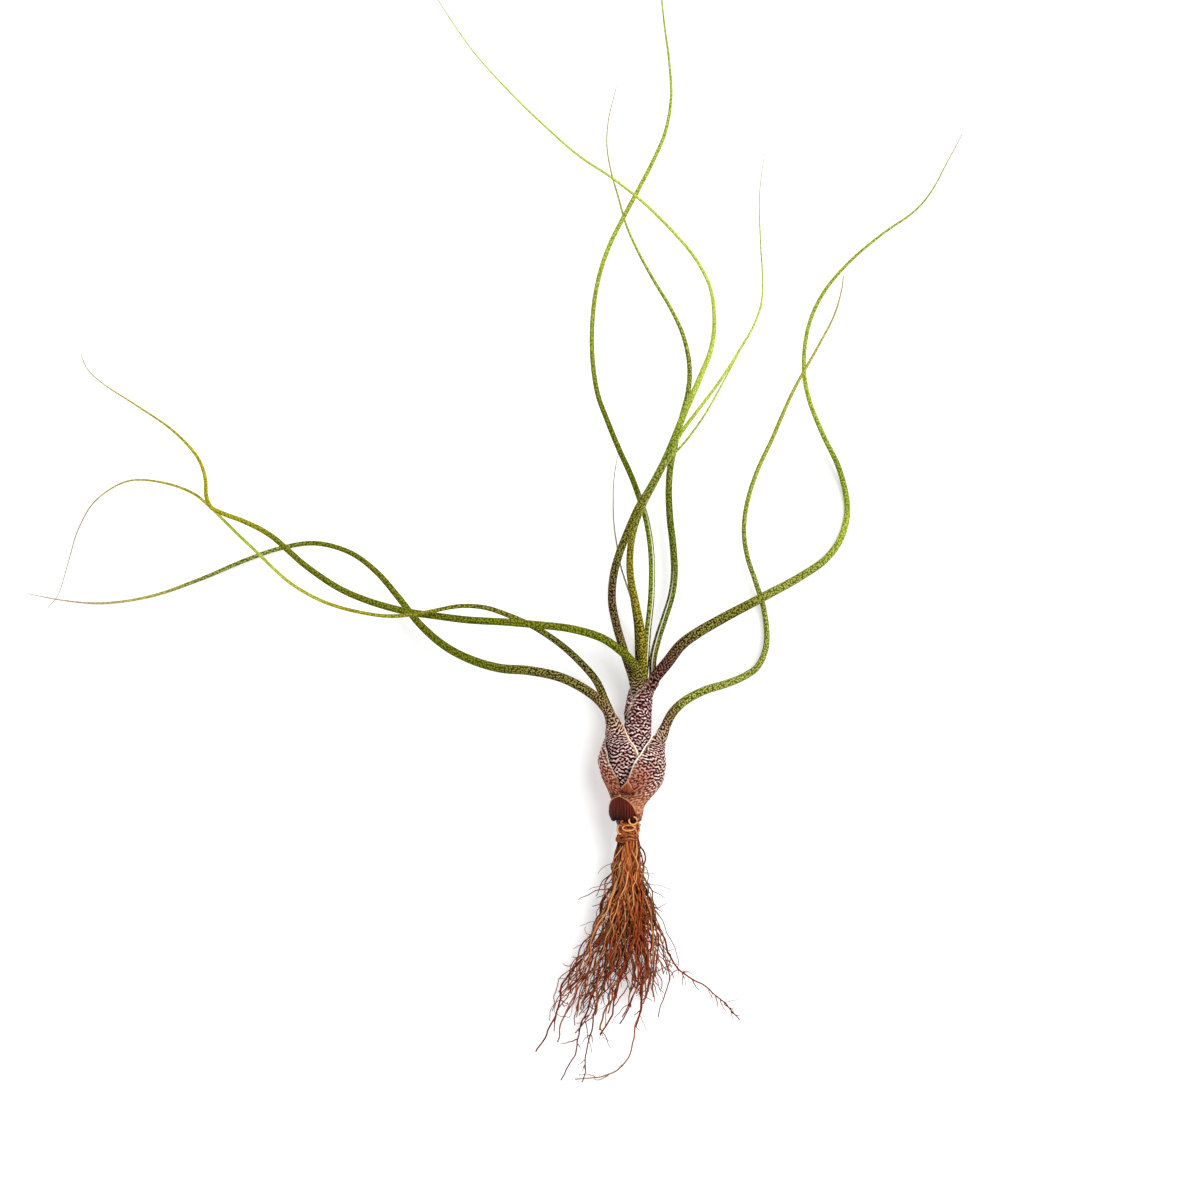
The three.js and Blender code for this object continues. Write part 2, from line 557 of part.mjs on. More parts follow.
function geometryOf(solid) {
  const { vertProperties, triVerts } = solid.getMesh();
  const geometry = new THREE.BufferGeometry();
  geometry.setAttribute("position", new THREE.BufferAttribute(vertProperties, 3));
  return geometry.setIndex(new THREE.BufferAttribute(triVerts, 1));
}

// Single roots that stray from the bunch, as points [x, y, z]
const STRAY_ROOTS = [
  [
    [2, -60, 8], [5, -76, 7], [3.6, -86.2, 6.2], [1.1, -94.3, 5.4], [-0.4, -100, 4.6],
    [-3, -109, 3.8], [-9, -112, 3], [-21, -113.3, 2],
  ],
  [
    [8, -56, 10], [13.5, -68, 9.5], [20, -76, 8.5], [26, -79.5, 7.5], [33, -86.2, 6],
    [39.6, -92, 4.5],
  ],
  [[-8, -62, 7], [-15, -86, 5], [-20, -100, 3.4], [-25, -114, 2]],
  [[-6, -60, 11], [-12, -84, 9.5], [-15, -98, 8], [-18.4, -114.5, 6]],
];

function rootsMesh() {
  const random = seeded(ROOT_SEED);
  let bunch = solidOf(turned(ROOT_KNOT.toReversed()));
  for (let n = 0; n < ROOTS; n++) {
    const out = Math.sqrt((n + 0.5) / ROOTS);
    const turn = n * GOLDEN_ANGLE;
    const leftward = 0.5 - 0.5 * Math.cos(turn) * out;
    const reach = ROOT_SHORTEST + ROOT_EXTRA * random() + ROOT_EXTRA_LEFT * leftward * random();
    const sway = THREE.MathUtils.lerp(...ROOT_SWAY, random());
    const steps = Math.ceil(reach / ROOT_STEP);
    const points = Array.from({ length: steps + 1 }, (_, k) =>
      rootPoint(THREE.MathUtils.lerp(ROOT_START, reach, k / steps), out, turn, sway),
    );
    bunch = bunch.add(solidOf(strand(points, ROOT_RADIUS, ROOT_SIDES)));
  }
  for (const stray of STRAY_ROOTS) {
    const points = stray.map(([x, y, z]) => new THREE.Vector3(x, y, z));
    const inBunch = fromAxis(ROOT_KNOT.at(-1)[0] + 2);
    const curve = new THREE.CatmullRomCurve3([inBunch, ...points], false, "centripetal");
    const tube = strand(curve.getPoints(2 * stray.length + 2), ROOT_RADIUS, ROOT_SIDES);
    bunch = bunch.add(solidOf(tube));
  }
  const shells = bunch.decompose().sort((a, b) => b.volume() - a.volume());
  return named("roots", geometryOf(shells[0]), "root", { roughness: 0.8, metalness: 0 });
}

const plant = new THREE.Group();
plant.add(stemMesh(), rootsMesh());
for (const [name, leaf] of Object.entries(LEAVES)) plant.add(leafMesh(name, leaf));
for (const [name, scale] of Object.entries(SCALES)) plant.add(scaleMesh(name, scale));

export default plant;
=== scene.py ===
# A bulbous air plant as picked, lying on its back on a pale floor and seen from above.
# Lengths in the tables are millimetres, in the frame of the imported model: +Y runs from
# the roots to the leaf tips, +Z is up, and the bulb rests at the origin.
import math

import bpy
import numpy as np
from bpy.props import FloatProperty, FloatVectorProperty, IntProperty, PointerProperty
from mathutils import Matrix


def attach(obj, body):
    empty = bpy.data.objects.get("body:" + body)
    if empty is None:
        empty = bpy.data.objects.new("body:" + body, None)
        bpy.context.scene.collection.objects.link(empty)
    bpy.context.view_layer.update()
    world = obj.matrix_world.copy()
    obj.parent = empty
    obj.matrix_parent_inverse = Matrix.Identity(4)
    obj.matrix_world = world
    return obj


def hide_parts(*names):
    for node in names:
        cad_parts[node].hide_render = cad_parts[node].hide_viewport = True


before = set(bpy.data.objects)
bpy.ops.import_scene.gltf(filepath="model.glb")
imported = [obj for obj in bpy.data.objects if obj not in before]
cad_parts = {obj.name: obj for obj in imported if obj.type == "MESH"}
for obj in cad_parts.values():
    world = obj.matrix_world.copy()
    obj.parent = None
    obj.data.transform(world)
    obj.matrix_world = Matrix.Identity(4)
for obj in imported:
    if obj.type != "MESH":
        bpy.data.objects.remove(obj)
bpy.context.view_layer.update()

bl_info = {
    "name": "Bulbous air plant",
    "version": (1, 0, 0),
    "blender": (4, 5, 0),
    "location": "3D View > Sidebar > Air plant",
    "description": "Builds the finished leaves, scales, stem and roots of the plant on its frame",
    "category": "Add Mesh",
}

MM = 0.001  # metres
FULL_TURN = 2 * math.pi
BODY = "root"

# The bulb's axis, as in the frame
CROWN = np.array([-2.5, -19.1, 11.75])  # its lower end
LEAN = math.radians(7.1)
UP = np.array([0.0, 0.0, 1.0])
ALONG = np.array([math.sin(LEAN), math.cos(LEAN), 0.0])
ACROSS = np.array([math.cos(LEAN), -math.sin(LEAN), 0.0])

# Leaf bases and blades
SHEATH_WALL = 0.8
WALL_SHARE = 0.55  # of the radius, on a blade
FLAT_WALL = 0.62  # left over the flat spot that the bulb rests on
ROLLED = 162.0  # half angle of a blade that has rolled up, in degrees
SHUT = 171.0  # the same further on, where its channel is only a slit
TURNING_RADIUS = (2.8, 5.5)  # sections turn square to the blade between these
BLADE_START = 5.0  # past the neck, where the blade has its own radius

# Most that the fine forms take of a leaf's radius
MARGIN_SHARE = 0.3  # wall left at a margin
WIDTH_SHARE = 0.7  # width of the thin margin
RELIEF_SHARE = 0.09
DIP_SHARE = 0.1

# Spacings of the ridge patterns, as shares of the ridge spacing
NET_SPACING = 0.85
BREAK_SPACING = 1.25

# Seeds of the random draws. The order of a leaf or scale is added to those of its kind.
SEEDS = {
    "bands": 100, "net": 150, "breaks": 200, "scale tears": 300, "scale stripes": 310,
    "stem lumps": 330, "base tears": 400, "fine tears": 410, "scale foot": 420,
    "main wander": 11, "main drift": 12, "thin": 21, "thin wander": 22, "stray wander": 31,
    "coils": 51, "root tints": 61,
}

# Each leaf: azimuth is the way its back faces round the bulb's axis (0 right, 90 up).
# sheath rows are [distance from the crown, the arc's centre across and up from the axis,
# arc radius, half angle, turn of the arc's middle from the azimuth], angles in degrees.
# rib rows, for the young leaves inside the neck, are [distance from the crown, across,
# up, radius]. route is the free blade's centre line, and thickness its radius at even
# steps from the neck to the tip. tones says what colours it has along its length, where
# 0 is its base, NECK the end of its sheath and 1 its tip. edges says how pale its thin
# margins are, and papery how brown the strip beside them is. worn is where the ridges are
# rubbed away: from one share of the way to the front margin to another, up to a distance
# from the base. worn_foot is how far up they are rubbed away all round. coarse widens the
# spacing of the ridges. pale_side is which margin of a blade is the pale one. lowest is how
# low the leaf may hang.
NECK = 0.25
LEAVES = {
    "leaf_right_outer": {
        "slot": "leaf_green",
        "azimuth": -10,
        "sheath": [
            [-0.4, 0.8, 0, 5.2, 108], [2.5, 0.6, 0, 5.75, 116], [5, 0.1, 0, 6.4, 122],
            [8.5, 0, 0, 8.6, 115], [12, 0, 0, 11, 108],
            [15.5, 0, 0, 12.3, 102], [20.2, 0, 0, 12.55, 96], [22.4, 0.6, 0, 11.6, 93],
            [25, 2.2, -0.3, 9.4, 85, 8], [28, 5.3, 0, 6.1, 93, 12], [31, 8.8, -0.6, 3, 135, 8],
        ],
        "route": [
            [14.3, 18.5, 11], [18.4, 22.7, 10.9], [25.9, 26.8, 10.1], [34.2, 29.4, 8.6],
            [40.3, 31.9, 6.8], [45, 35.1, 5.2], [48.1, 41.4, 3.4], [48.6, 48.2, 2.4],
            [47.3, 57.2, 2.4], [44.6, 65.9, 4.5], [41.6, 74.9, 9], [40.3, 83.9, 14],
            [41.4, 94.3, 20], [45, 105.8, 25.5], [50, 116.6, 29], [57.9, 134.5, 32.5],
            [66.6, 150.1, 34], [72.7, 162, 34], [75.4, 171.7, 34], [75.8, 175.7, 34.5],
        ],
        "thickness": [1.95, 1.45, 0.98, 0.86, 0.74, 0.5, 0.2],
        "tones": [
            (0, "foot"), (0.05, "foot"), (0.11, "ridged"), (0.19, "ridged"), (0.245, "brown"),
            (0.28, "khaki"), (0.31, "green"), (0.58, "green"), (0.68, "bright"), (0.94, "tip"),
            (1, "faded"),
        ],
        "edges": [(0.08, 0), (0.14, 0.6), (0.18, 1), (0.24, 1), (0.28, 0)],
        "coarse": 1.12,
        "worn": (0.46, 0.78, 18),
        "worn_foot": 8,
    },
    "leaf_left_back": {
        "slot": "leaf_yellow",
        "lowest": 0.97,
        "azimuth": 213,
        "sheath": [
            [4.4, 0, 0, 4.95, 125], [7, 0, 0, 6.35, 112], [10, 0, 0, 8, 104], [13, -0.2, 0, 9.7, 98],
            [16, -0.6, 0, 10.6, 90], [19.2, -1.3, 0.2, 11.1, 82], [22.5, -1.7, 0.5, 10.4, 72],
            [26, -2.3, -1.5, 9, 49], [28, -4.1, -2.7, 6.8, 42], [30, -6, -3.9, 4.6, 60],
            [32, -7.1, -4.6, 3.2, 95], [33.5, -7.9, -5.1, 2.3, 125],
        ],
        "route": [
            [-9.2, 22, 7], [-12.6, 29.9, 9], [-18, 36.4, 12],
            [-26.3, 43.9, 16.5], [-35.6, 49.9, 21], [-44.6, 54, 25], [-52.9, 56.7, 28],
            [-61.9, 57.2, 30.5], [-74.5, 54.9, 32], [-86, 53.6, 31.5], [-97.2, 54.9, 29.5],
            [-110.5, 58.7, 26], [-122.8, 65.5, 22], [-135, 76.7, 19.5], [-143.3, 84.6, 21.5],
            [-151.2, 92.5, 25.5], [-157.9, 97.9, 29], [-170.3, 101.9, 33], [-181.4, 101.9, 35],
            [-192.6, 94.9, 34], [-198.7, 85, 30], [-202.9, 72, 22], [-206.6, 61.2, 14],
            [-210.4, 56.5, 10.5],
        ],
        "thickness": [1.7, 1.1, 0.7, 0.6, 0.52, 0.25, 0.12],
        "tones": [
            (0, "rust"), (0.1, "rust"), (0.17, "ridged"), (0.2, "ridged"), (0.25, "khaki"),
            (0.28, "dusky"), (0.33, "dusky"), (0.38, "olive"), (0.46, "olive"), (0.58, "yellow"),
            (0.68, "lime"), (0.76, "yellow"), (0.84, "tip"), (0.9, "faded"),
        ],
        "edges": [(0.05, 0), (0.1, 0.35), (0.2, 0.5), (0.25, 0.3), (0.28, 0)],
        "coarse": 1.12,
        "worn_foot": 9,
    },
    "leaf_left_front": {
        "slot": "leaf_olive",
        "azimuth": 152,
        "sheath": [
            [6.5, 0, 0, 4.75, 130], [8, 0, 0, 5.5, 120], [11, 0, 0, 7.4, 110], [14.5, -0.3, 0.1, 9, 100],
            [18, -0.4, 0.2, 9.5, 92], [22, -0.7, 0.4, 9, 84], [26, -1.8, 0.9, 8, 80],
            [28, -4.2, 2.2, 6.5, 88], [30, -6.3, 3.3, 4.8, 112], [34, -8.6, 4.6, 2.9, 150],
        ],
        "route": [
            [-9.2, 20.2, 17.5], [-13, 24.5, 18.2], [-18.7, 28.4, 18], [-25.9, 31.7, 17],
            [-36.7, 34, 15], [-47.5, 34.9, 13], [-57.6, 37.8, 11], [-67.3, 42.8, 9],
            [-76.3, 50.6, 7.5], [-84.2, 60.5, 6.5], [-92.2, 69.7, 6], [-101.5, 76.5, 5.5],
            [-114.1, 79.9, 4.6], [-126.7, 78.1, 3.8], [-139.3, 73.8, 3], [-155.5, 67, 1.8],
            [-173.5, 60.8, 0.5], [-191.2, 58.3, 1.2], [-205.9, 59.4, 3], [-217.8, 61.7, 5.5],
        ],
        "thickness": [1.9, 1.72, 1.4, 0.95, 0.78, 0.5, 0.15],
        "tones": [
            (0, "ridged"), (0.19, "ridged"), (0.24, "brown"), (0.275, "khaki"), (0.31, "dusky"),
            (0.36, "dusky"), (0.42, "moss"), (0.66, "moss"), (0.72, "green"), (0.8, "green"),
            (0.87, "tip"), (0.94, "faded"),
        ],
        "edges": [(0.04, 0), (0.08, 0.4), (0.13, 1), (0.26, 1), (0.3, 0)],
        "coarse": 1.04,
        "papery": 0.8,
    },
    "leaf_right_inner": {
        "slot": "leaf_olive",
        "azimuth": 30,
        "sheath": [
            [8, 0, 0, 4.35, 140], [12, 0, 0, 5.3, 135], [17, 0, 0, 7, 130], [22, 0, 0, 7.4, 128],
            [27, 0, 0, 6.5, 128], [31, 0, 0, 5.7, 134, -6], [35, 0, 0, 5.4, 152, -34],
            [37, 0, 0, 5.2, 170, -56], [39, 0, 0, 5.05, 178, -70], [42, 0, 0, 4.85, 178, -84],
            [44, 0, 0, 4.7, 172, -84], [45.5, 0.15, 0.1, 4.65, 159, -77], [47, 0.5, 0.2, 4.5, 138, -69],
            [48.5, 2.2, 1, 3.5, 121, -38], [50, 3.5, 1.8, 2.9, 122, -26],
            [51.5, 4.3, 2.5, 2.35, 138, -12],
        ],
        "route": [
            [12.8, 37.1, 15.5], [17.6, 43.2, 16], [23.4, 47.5, 15.5], [33.5, 53.3, 13.5],
            [47.2, 60.5, 11], [60.5, 67.7, 7], [70, 74.3, 3.8], [75.2, 81.4, 1.7],
            [77.6, 90.2, 0.9], [77.2, 97.2, 1.4], [74.4, 107.5, 3.5], [68.4, 119.9, 7.5],
            [63.5, 132.5, 11.5], [61.8, 143.6, 15], [63.5, 158, 19], [68.4, 169.2, 22.5],
            [77, 179.8, 26], [89.3, 190.4, 29.5], [101.5, 199.1, 32], [107.3, 205.9, 33.5],
            [113, 216.4, 35], [118.4, 226.4, 36],
        ],
        "thickness": [2.3, 1.72, 1.25, 0.9, 0.72, 0.45, 0.15],
        "tones": [
            (0, "ridged"), (0.11, "ridged"), (0.15, "plum"), (0.19, "plum"), (0.23, "purple"),
            (0.27, "purple"), (0.32, "dusky"), (0.37, "olive"), (0.41, "green"), (0.46, "green"),
            (0.51, "bright"), (0.57, "leafy"), (0.66, "bright"), (0.92, "bright"), (0.97, "tip"),
            (1, "faded"),
        ],
        "edges": [(0.05, 0.4), (0.14, 0.4), (0.2, 0.2), (0.26, 0)],
    },
    "leaf_left_inner": {
        "slot": "leaf_green",
        "azimuth": 100,
        "sheath": [
            [10.5, 0, 0, 3.8, 140], [15, 0, 0, 4.6, 130], [20, 0, 0, 6, 125], [26, 0, 0, 5.3, 120],
            [31, 0, 0, 4.5, 112], [35, 0, 0, 4.2, 84], [37.5, 0, 0, 3.9, 66], [40, 0, 0, 3.6, 60],
            [44, -0.3, 0.4, 3.2, 65], [47, -0.9, 0.6, 3, 74], [49, -1.3, 1.2, 2.8, 88],
            [51, -1.7, 2.3, 2.3, 112],
        ],
        "route": [
            [2, 34.4, 16.2], [-1, 38.3, 18.8], [-4, 41.1, 21], [-10.8, 45.7, 25],
            [-21.6, 49, 29.5], [-32.8, 50.4, 33], [-45.7, 51.5, 34.5], [-58.3, 52.2, 32],
            [-69.1, 53.5, 27.5], [-81.7, 55.4, 23.5], [-94.3, 58.9, 21.5], [-105.1, 63.5, 21.5],
            [-117.4, 71.8, 23.5], [-130.1, 82.8, 27.5], [-139.5, 87.7, 31], [-146.9, 90.5, 34],
            [-151, 92.7, 36], [-152.6, 96.5, 38], [-153, 103.3, 40.5], [-155.5, 110.2, 42],
            [-163.8, 119.5, 42.5], [-177.7, 129.2, 41], [-189.7, 137, 38.5], [-195.3, 142.2, 37],
            [-197.6, 147.2, 36],
        ],
        "thickness": [1.65, 1.4, 1.3, 1.15, 0.88, 0.45, 0.15],
        "tones": [
            (0, "purple"), (0.19, "purple"), (0.215, "khaki"), (0.24, "khaki"), (0.28, "moss"),
            (0.68, "moss"), (0.79, "yellow"), (0.86, "yellow"), (0.94, "tip"), (1, "faded"),
        ],
        "edges": [(0.1, 0.15), (0.24, 0)],
    },
    "leaf_middle_tall": {
        "slot": "leaf_olive",
        "azimuth": 197,
        "sheath": [
            [12.5, 0, 0, 2.95, 140], [16, 0, 0, 3.5, 130], [21, 0, 0, 4.5, 120], [27, 0, 0, 3.9, 100],
            [31, 0, 0, 3.3, 66], [35, 0, 0, 3, 36], [40, -0.5, -0.1, 2.7, 38], [44, -1.3, -0.4, 2, 60],
            [47, -2.1, -0.2, 1.9, 85], [49, -2.9, -0.1, 1.85, 110], [51, -3.6, 0, 1.75, 140],
        ],
        "route": [
            [-1.1, 35.6, 12], [-2.9, 41.4, 14], [-5.4, 50, 18], [-7.1, 58.7, 22.5],
            [-6.7, 67.3, 27], [-5, 74.5, 31], [-1.6, 83.5, 36], [2.2, 92.2, 41],
            [6.7, 99.7, 45], [11.5, 108.7, 49], [15.5, 118.1, 52.5], [18.9, 126.7, 55],
            [24.5, 139.3, 57.5], [28.3, 149.4, 58.5], [29.4, 160.2, 58.5], [27.7, 171.7, 57],
            [22.7, 181.4, 54.5], [15.8, 189.9, 51.5], [4.7, 201.1, 47.5], [-7.2, 210.6, 44.5],
            [-18.7, 218.3, 42], [-30.1, 228.2, 39.5], [-43.9, 241.6, 37], [-56.5, 255.6, 35],
            [-63.9, 265.9, 34], [-70.6, 276.5, 33.5], [-76, 286.9, 33.5],
        ],
        "thickness": [1.65, 1.5, 1.3, 0.68, 0.5, 0.32, 0.12],
        "tones": [
            (0, "khaki"), (0.25, "khaki"), (0.28, "dusky"), (0.3, "umber"), (0.335, "umber"),
            (0.36, "dusky"), (0.41, "olive"), (0.46, "green"), (0.49, "leafy"), (0.54, "lime"),
            (0.94, "lime"), (0.99, "tip"),
        ],
        "edges": [(0.1, 0.15), (0.25, 0)],
    },
    "leaf_middle": {
        "slot": "leaf_yellow",
        "azimuth": 70,
        "rib": [[15.8, 0.1, 1.5, 0.8], [31, 0, 1.3, 0.85], [40, -0.2, 1, 1], [51, 0.3, -0.1, 1.45]],
        "route": [
            [3.8, 39.6, 13.5], [3.2, 47.9, 16.5], [1.4, 57.6, 20.5], [-0.4, 66.6, 24],
            [-0.8, 73.8, 27], [-0.2, 80.6, 29.5], [1.6, 87.8, 32], [4.9, 95.4, 34.5],
            [8.8, 102.6, 36.5], [13, 110.5, 38.5], [17.5, 119.2, 40.5], [23.2, 126.9, 42],
            [31, 137.2, 42.5], [39.2, 150.1, 41.5], [43.9, 158.4, 40], [46.4, 166.3, 38],
            [46.8, 175, 36], [46.1, 187.6, 33.5], [45.8, 205.2, 32], [47.9, 222.1, 33],
        ],
        "thickness": [1.6, 1.35, 1.1, 0.65, 0.42, 0.25, 0.1],
        "tones": [
            (0, "gold"), (0.42, "gold"), (0.5, "green"), (0.57, "bright"), (0.64, "lime"),
            (0.8, "lime"), (0.86, "bright"), (0.94, "tip"), (1, "faded"),
        ],
        "edges": [(0.2, 0)],
    },
    "leaf_middle_curled": {
        "slot": "leaf_green",
        "azimuth": 212,
        "rib": [
            [15.8, 0.9, -1.4, 0.7], [31, 1.2, -1.8, 0.75], [40, 0.4, -2.9, 0.8], [44, 0.3, -3.5, 0.95],
            [47.5, 0.8, -4.3, 1.05], [51, 0.8, -4.1, 1.2],
        ],
        "route": [
            [5.2, 39.6, 8.6], [5.8, 48.6, 9.5], [6.9, 59.4, 11.5], [7.2, 70.2, 14],
            [6.7, 79.2, 16.5], [5, 88.9, 19.5], [2.9, 95.4, 21.5], [0, 103.3, 24],
            [-5, 114.3, 27.5], [-9.2, 124.6, 30.5], [-12.2, 132.8, 33], [-14, 143.6, 35.5],
            [-14.4, 154.8, 37.5], [-13.5, 166.7, 39], [-11.2, 177.7, 39.5], [-7.6, 187.6, 39.5],
            [-2.9, 196.9, 39], [2.5, 207, 38], [8.1, 218, 36.5], [11.9, 227.2, 35],
            [14, 239.4, 33], [13.3, 253.1, 31], [11.7, 265.3, 29.5], [10.6, 277.2, 28.5],
            [11.2, 288.4, 28],
        ],
        "thickness": [1.25, 1.15, 0.97, 0.82, 0.78, 0.5, 0.2],
        "tones": [
            (0, "dusky"), (0.2, "dusky"), (0.26, "green"), (0.36, "leafy"), (0.44, "moss"),
            (0.52, "moss"), (0.68, "bright"), (0.92, "bright"), (1, "tip"),
        ],
        "edges": [(0.2, 0.9), (0.38, 0.9), (0.44, 0)],
    },
    "leaf_middle_low": {
        "slot": "leaf_green",
        "azimuth": 305,
        "pale_side": -1,
        "rib": [
            [15.8, 1.9, 0, 0.75], [31, 2, -0.1, 0.8], [40, 2.2, -1, 0.9], [44, 2, -1.8, 1],
            [46, 2.6, -2.4, 1.1], [51, 3.5, -2.6, 1.3],
        ],
        "route": [
            [7.6, 38.2, 9.3], [9.4, 45.7, 8.5], [11.9, 53.3, 7.5], [14.4, 61.6, 6.8],
            [15.3, 69.5, 6.5], [14.8, 79.2, 6.5], [13.7, 88.9, 7], [13.3, 98.6, 8],
            [13.8, 106.9, 9], [15.3, 114.5, 10], [18, 125.3, 11.5], [20.2, 134.3, 13],
            [20.7, 143.6, 14.5], [18.4, 154.6, 16.5], [13.7, 164.7, 18.5], [8.1, 173.9, 20.5],
            [2.5, 184, 22.5], [-2, 194, 24.5], [-4.9, 204.1, 26], [-7.4, 212.8, 27],
            [-9, 222.5, 28], [-8.5, 231.5, 29], [-6.8, 239, 30], [-5.6, 243.7, 30.5],
        ],
        "thickness": [1.35, 1.3, 1.2, 0.9, 0.58, 0.32, 0.12],
        "tones": [
            (0, "dusky"), (0.24, "dusky"), (0.3, "deep"), (0.46, "deep"), (0.56, "green"),
            (0.62, "green"), (0.8, "bright"), (0.93, "tip"), (1, "faded"),
        ],
        "edges": [(0.2, 0.9), (0.34, 0.9), (0.4, 0)],
    },
    "leaf_middle_thin": {
        "slot": "leaf_yellow",
        "azimuth": 120,
        "rib": [
            [15.8, -1.6, -0.2, 0.55], [31, -1.4, -0.4, 0.55], [40, -0.5, -1.1, 0.6],
            [44, -0.7, -1.9, 0.6], [47.5, -1, -3.4, 0.65], [51, -1.8, -3.7, 0.85],
        ],
        "route": [
            [1.8, 40.7, 8.6], [1.4, 50.4, 11], [0, 60.1, 14], [-1.4, 70.2, 17],
            [-0.7, 79.2, 19.5], [2.2, 88.6, 22], [6.5, 97.6, 24.5], [10.4, 105.1, 26.5],
            [14.6, 111.2, 28], [19.4, 116.6, 29.5], [25.9, 125.6, 31], [31.7, 135.7, 32],
            [39.2, 149.8, 33], [44.1, 159.1, 33.5], [47.3, 166.3, 34], [49.1, 171.4, 34.5],
        ],
        "thickness": [0.8, 0.7, 0.6, 0.48, 0.38, 0.27, 0.1],
        "tones": [
            (0, "dusky"), (0.36, "dusky"), (0.46, "gold"), (0.56, "green"), (0.68, "bright"),
            (0.82, "lime"), (0.92, "lime"), (1, "tip"),
        ],
        "edges": [(0.2, 0)],
    },
    "leaf_middle_hair": {
        "slot": "leaf_brown",
        "azimuth": 270,
        "rib": [
            [15.8, -0.6, -1.6, 0.45], [31, -0.5, -1.6, 0.45], [34, -0.35, -1.9, 0.45],
            [40, -1.4, -3.4, 0.55], [44, -1.6, -4.2, 0.6], [51, -1, -5.6, 0.65],
        ],
        "route": [
            [3.2, 39.2, 6.2], [2.5, 47.9, 7.5], [0.5, 57.6, 9.5], [-1.6, 63.9, 11],
            [-4, 71.3, 12.5], [-5.4, 78.8, 14], [-6.5, 86.4, 15.5], [-6.8, 93.6, 17],
            [-6.5, 103, 18.5], [-5.2, 111.2, 19.5], [-3.6, 118.8, 20.5],
        ],
        "thickness": [0.6, 0.45, 0.36, 0.3, 0.24, 0.18, 0.08],
        "tones": [(0, "dusky"), (0.5, "dusky"), (0.66, "umber"), (1, "umber")],
        "edges": [(0.2, 0)],
    },
}

# How finely a leaf is cut: points on its outer face, round a margin and on its inner face,
# every how many points are kept on the base, the start of the blade and the rest, and how
# far apart the rings are there.
WIDE_LEAF = ((144, 8, 40), (1, 2, 4), (0.22, 0.25, 1.2))
SLIM_LEAF = ((72, 4, 20), (1, 1, 2), (0.22, 0.25, 1.2))
YOUNG_LEAF = ((32, 2, 12), (1, 1, 1), (1.0, 0.3, 1.2))
SLIM_RADIUS = 6.5  # a slim leaf's base is smaller than this
CLOSE_RINGS = 30.0  # past the neck, where the rings of a blade stand close

# Bladeless scales at the foot of the bulb, with rows of [distance from the crown, radius,
# half angle in degrees], which close to a point.
SCALE_WALL = 0.65
SCALE_MARGIN = 0.25  # wall left at the margin
SCALE_FURROW = 0.1
SCALES = {
    "bract_basal": {
        "slot": "bract",
        "azimuth": 109,
        "rows": [
            [-1.1, 5.2, 88], [0, 5.7, 78], [2.3, 6.45, 58], [4.6, 7.25, 42],
            [6.6, 8.4, 20], [7.6, 9, 3],
        ],
        "ragged": 0.25,
    },
    "scale_torn": {
        "slot": "scale",
        "azimuth": 93,
        "rows": [[8.7, 9.75, 17], [10.2, 10.85, 13], [11.7, 11.85, 8], [13.1, 12.55, 2]],
        "ragged": 0.7,
    },
}

# The short stem, as [distance from the crown, radius]
STEM = [
    [-3, 2.4], [-1.8, 3.1], [0, 3.9], [3, 3.9], [6, 3.4], [9, 2.7], [12, 1.8], [13.4, 1.7], [15.4, 1.9],
]
STEM_SCAR = (0.12, 1.3)  # depth and spacing of the scars of old leaves
STEM_SHARE = 0.98  # of the radius, under its lumps

# Roots. The bunch's half width across, half depth and drop, at its top and where it is full.
ROOTS = 34
ROOT_SEED = 7
ROOT_KNOT = [[-0.8, 3.2], [-3.5, 4], [-5, 4.2], [-7.5, 3.9], [-10, 3]]
ROOT_START = 2.5
ROOT_SHORTEST = 44
ROOT_EXTRA = 26
ROOT_EXTRA_LEFT = 20
ROOT_SWAY = (0.5, 1.3)
GOLDEN_ANGLE = math.pi * (3 - math.sqrt(5))
BUNCH_LEVEL = -3.5  # its top, as a distance from the crown
BUNCH_SHIFT = 1.6  # to the right of the axis
BUNCH_TOP = (2.9, 2.9, 0)
BUNCH_FULL = (20.5, 9, 3)
BUNCH_SPREAD = (2, 68)
BUNCH_BEND_FROM = 36
BUNCH_BEND = 0.006
DRIFT = 0.34  # how far a main root drifts across the bunch, as a share of its half width
WANDERING = ((31, 0.9), (17, 0.5), (8, 0.17), (3.7, 0.06))  # wavelengths and their shares
LOWEST_ROOT = 0.35  # height of a root's middle that lies on the floor
LOWEST_ROOTLET = 0.25
MAIN_TAPER = 0.44
THIN_REACH = (26, 34, 26)  # shortest, the most more, and the most more at the left
THIN_RADIUS = (0.18, 0.37)
THIN_TAPER = 0.32
STRAY_RADIUS = 0.4
ROOTLET_RADIUS = (0.12, 0.24)
ROOTLET_SLANT = (0.35, 0.95)  # radians from its parent
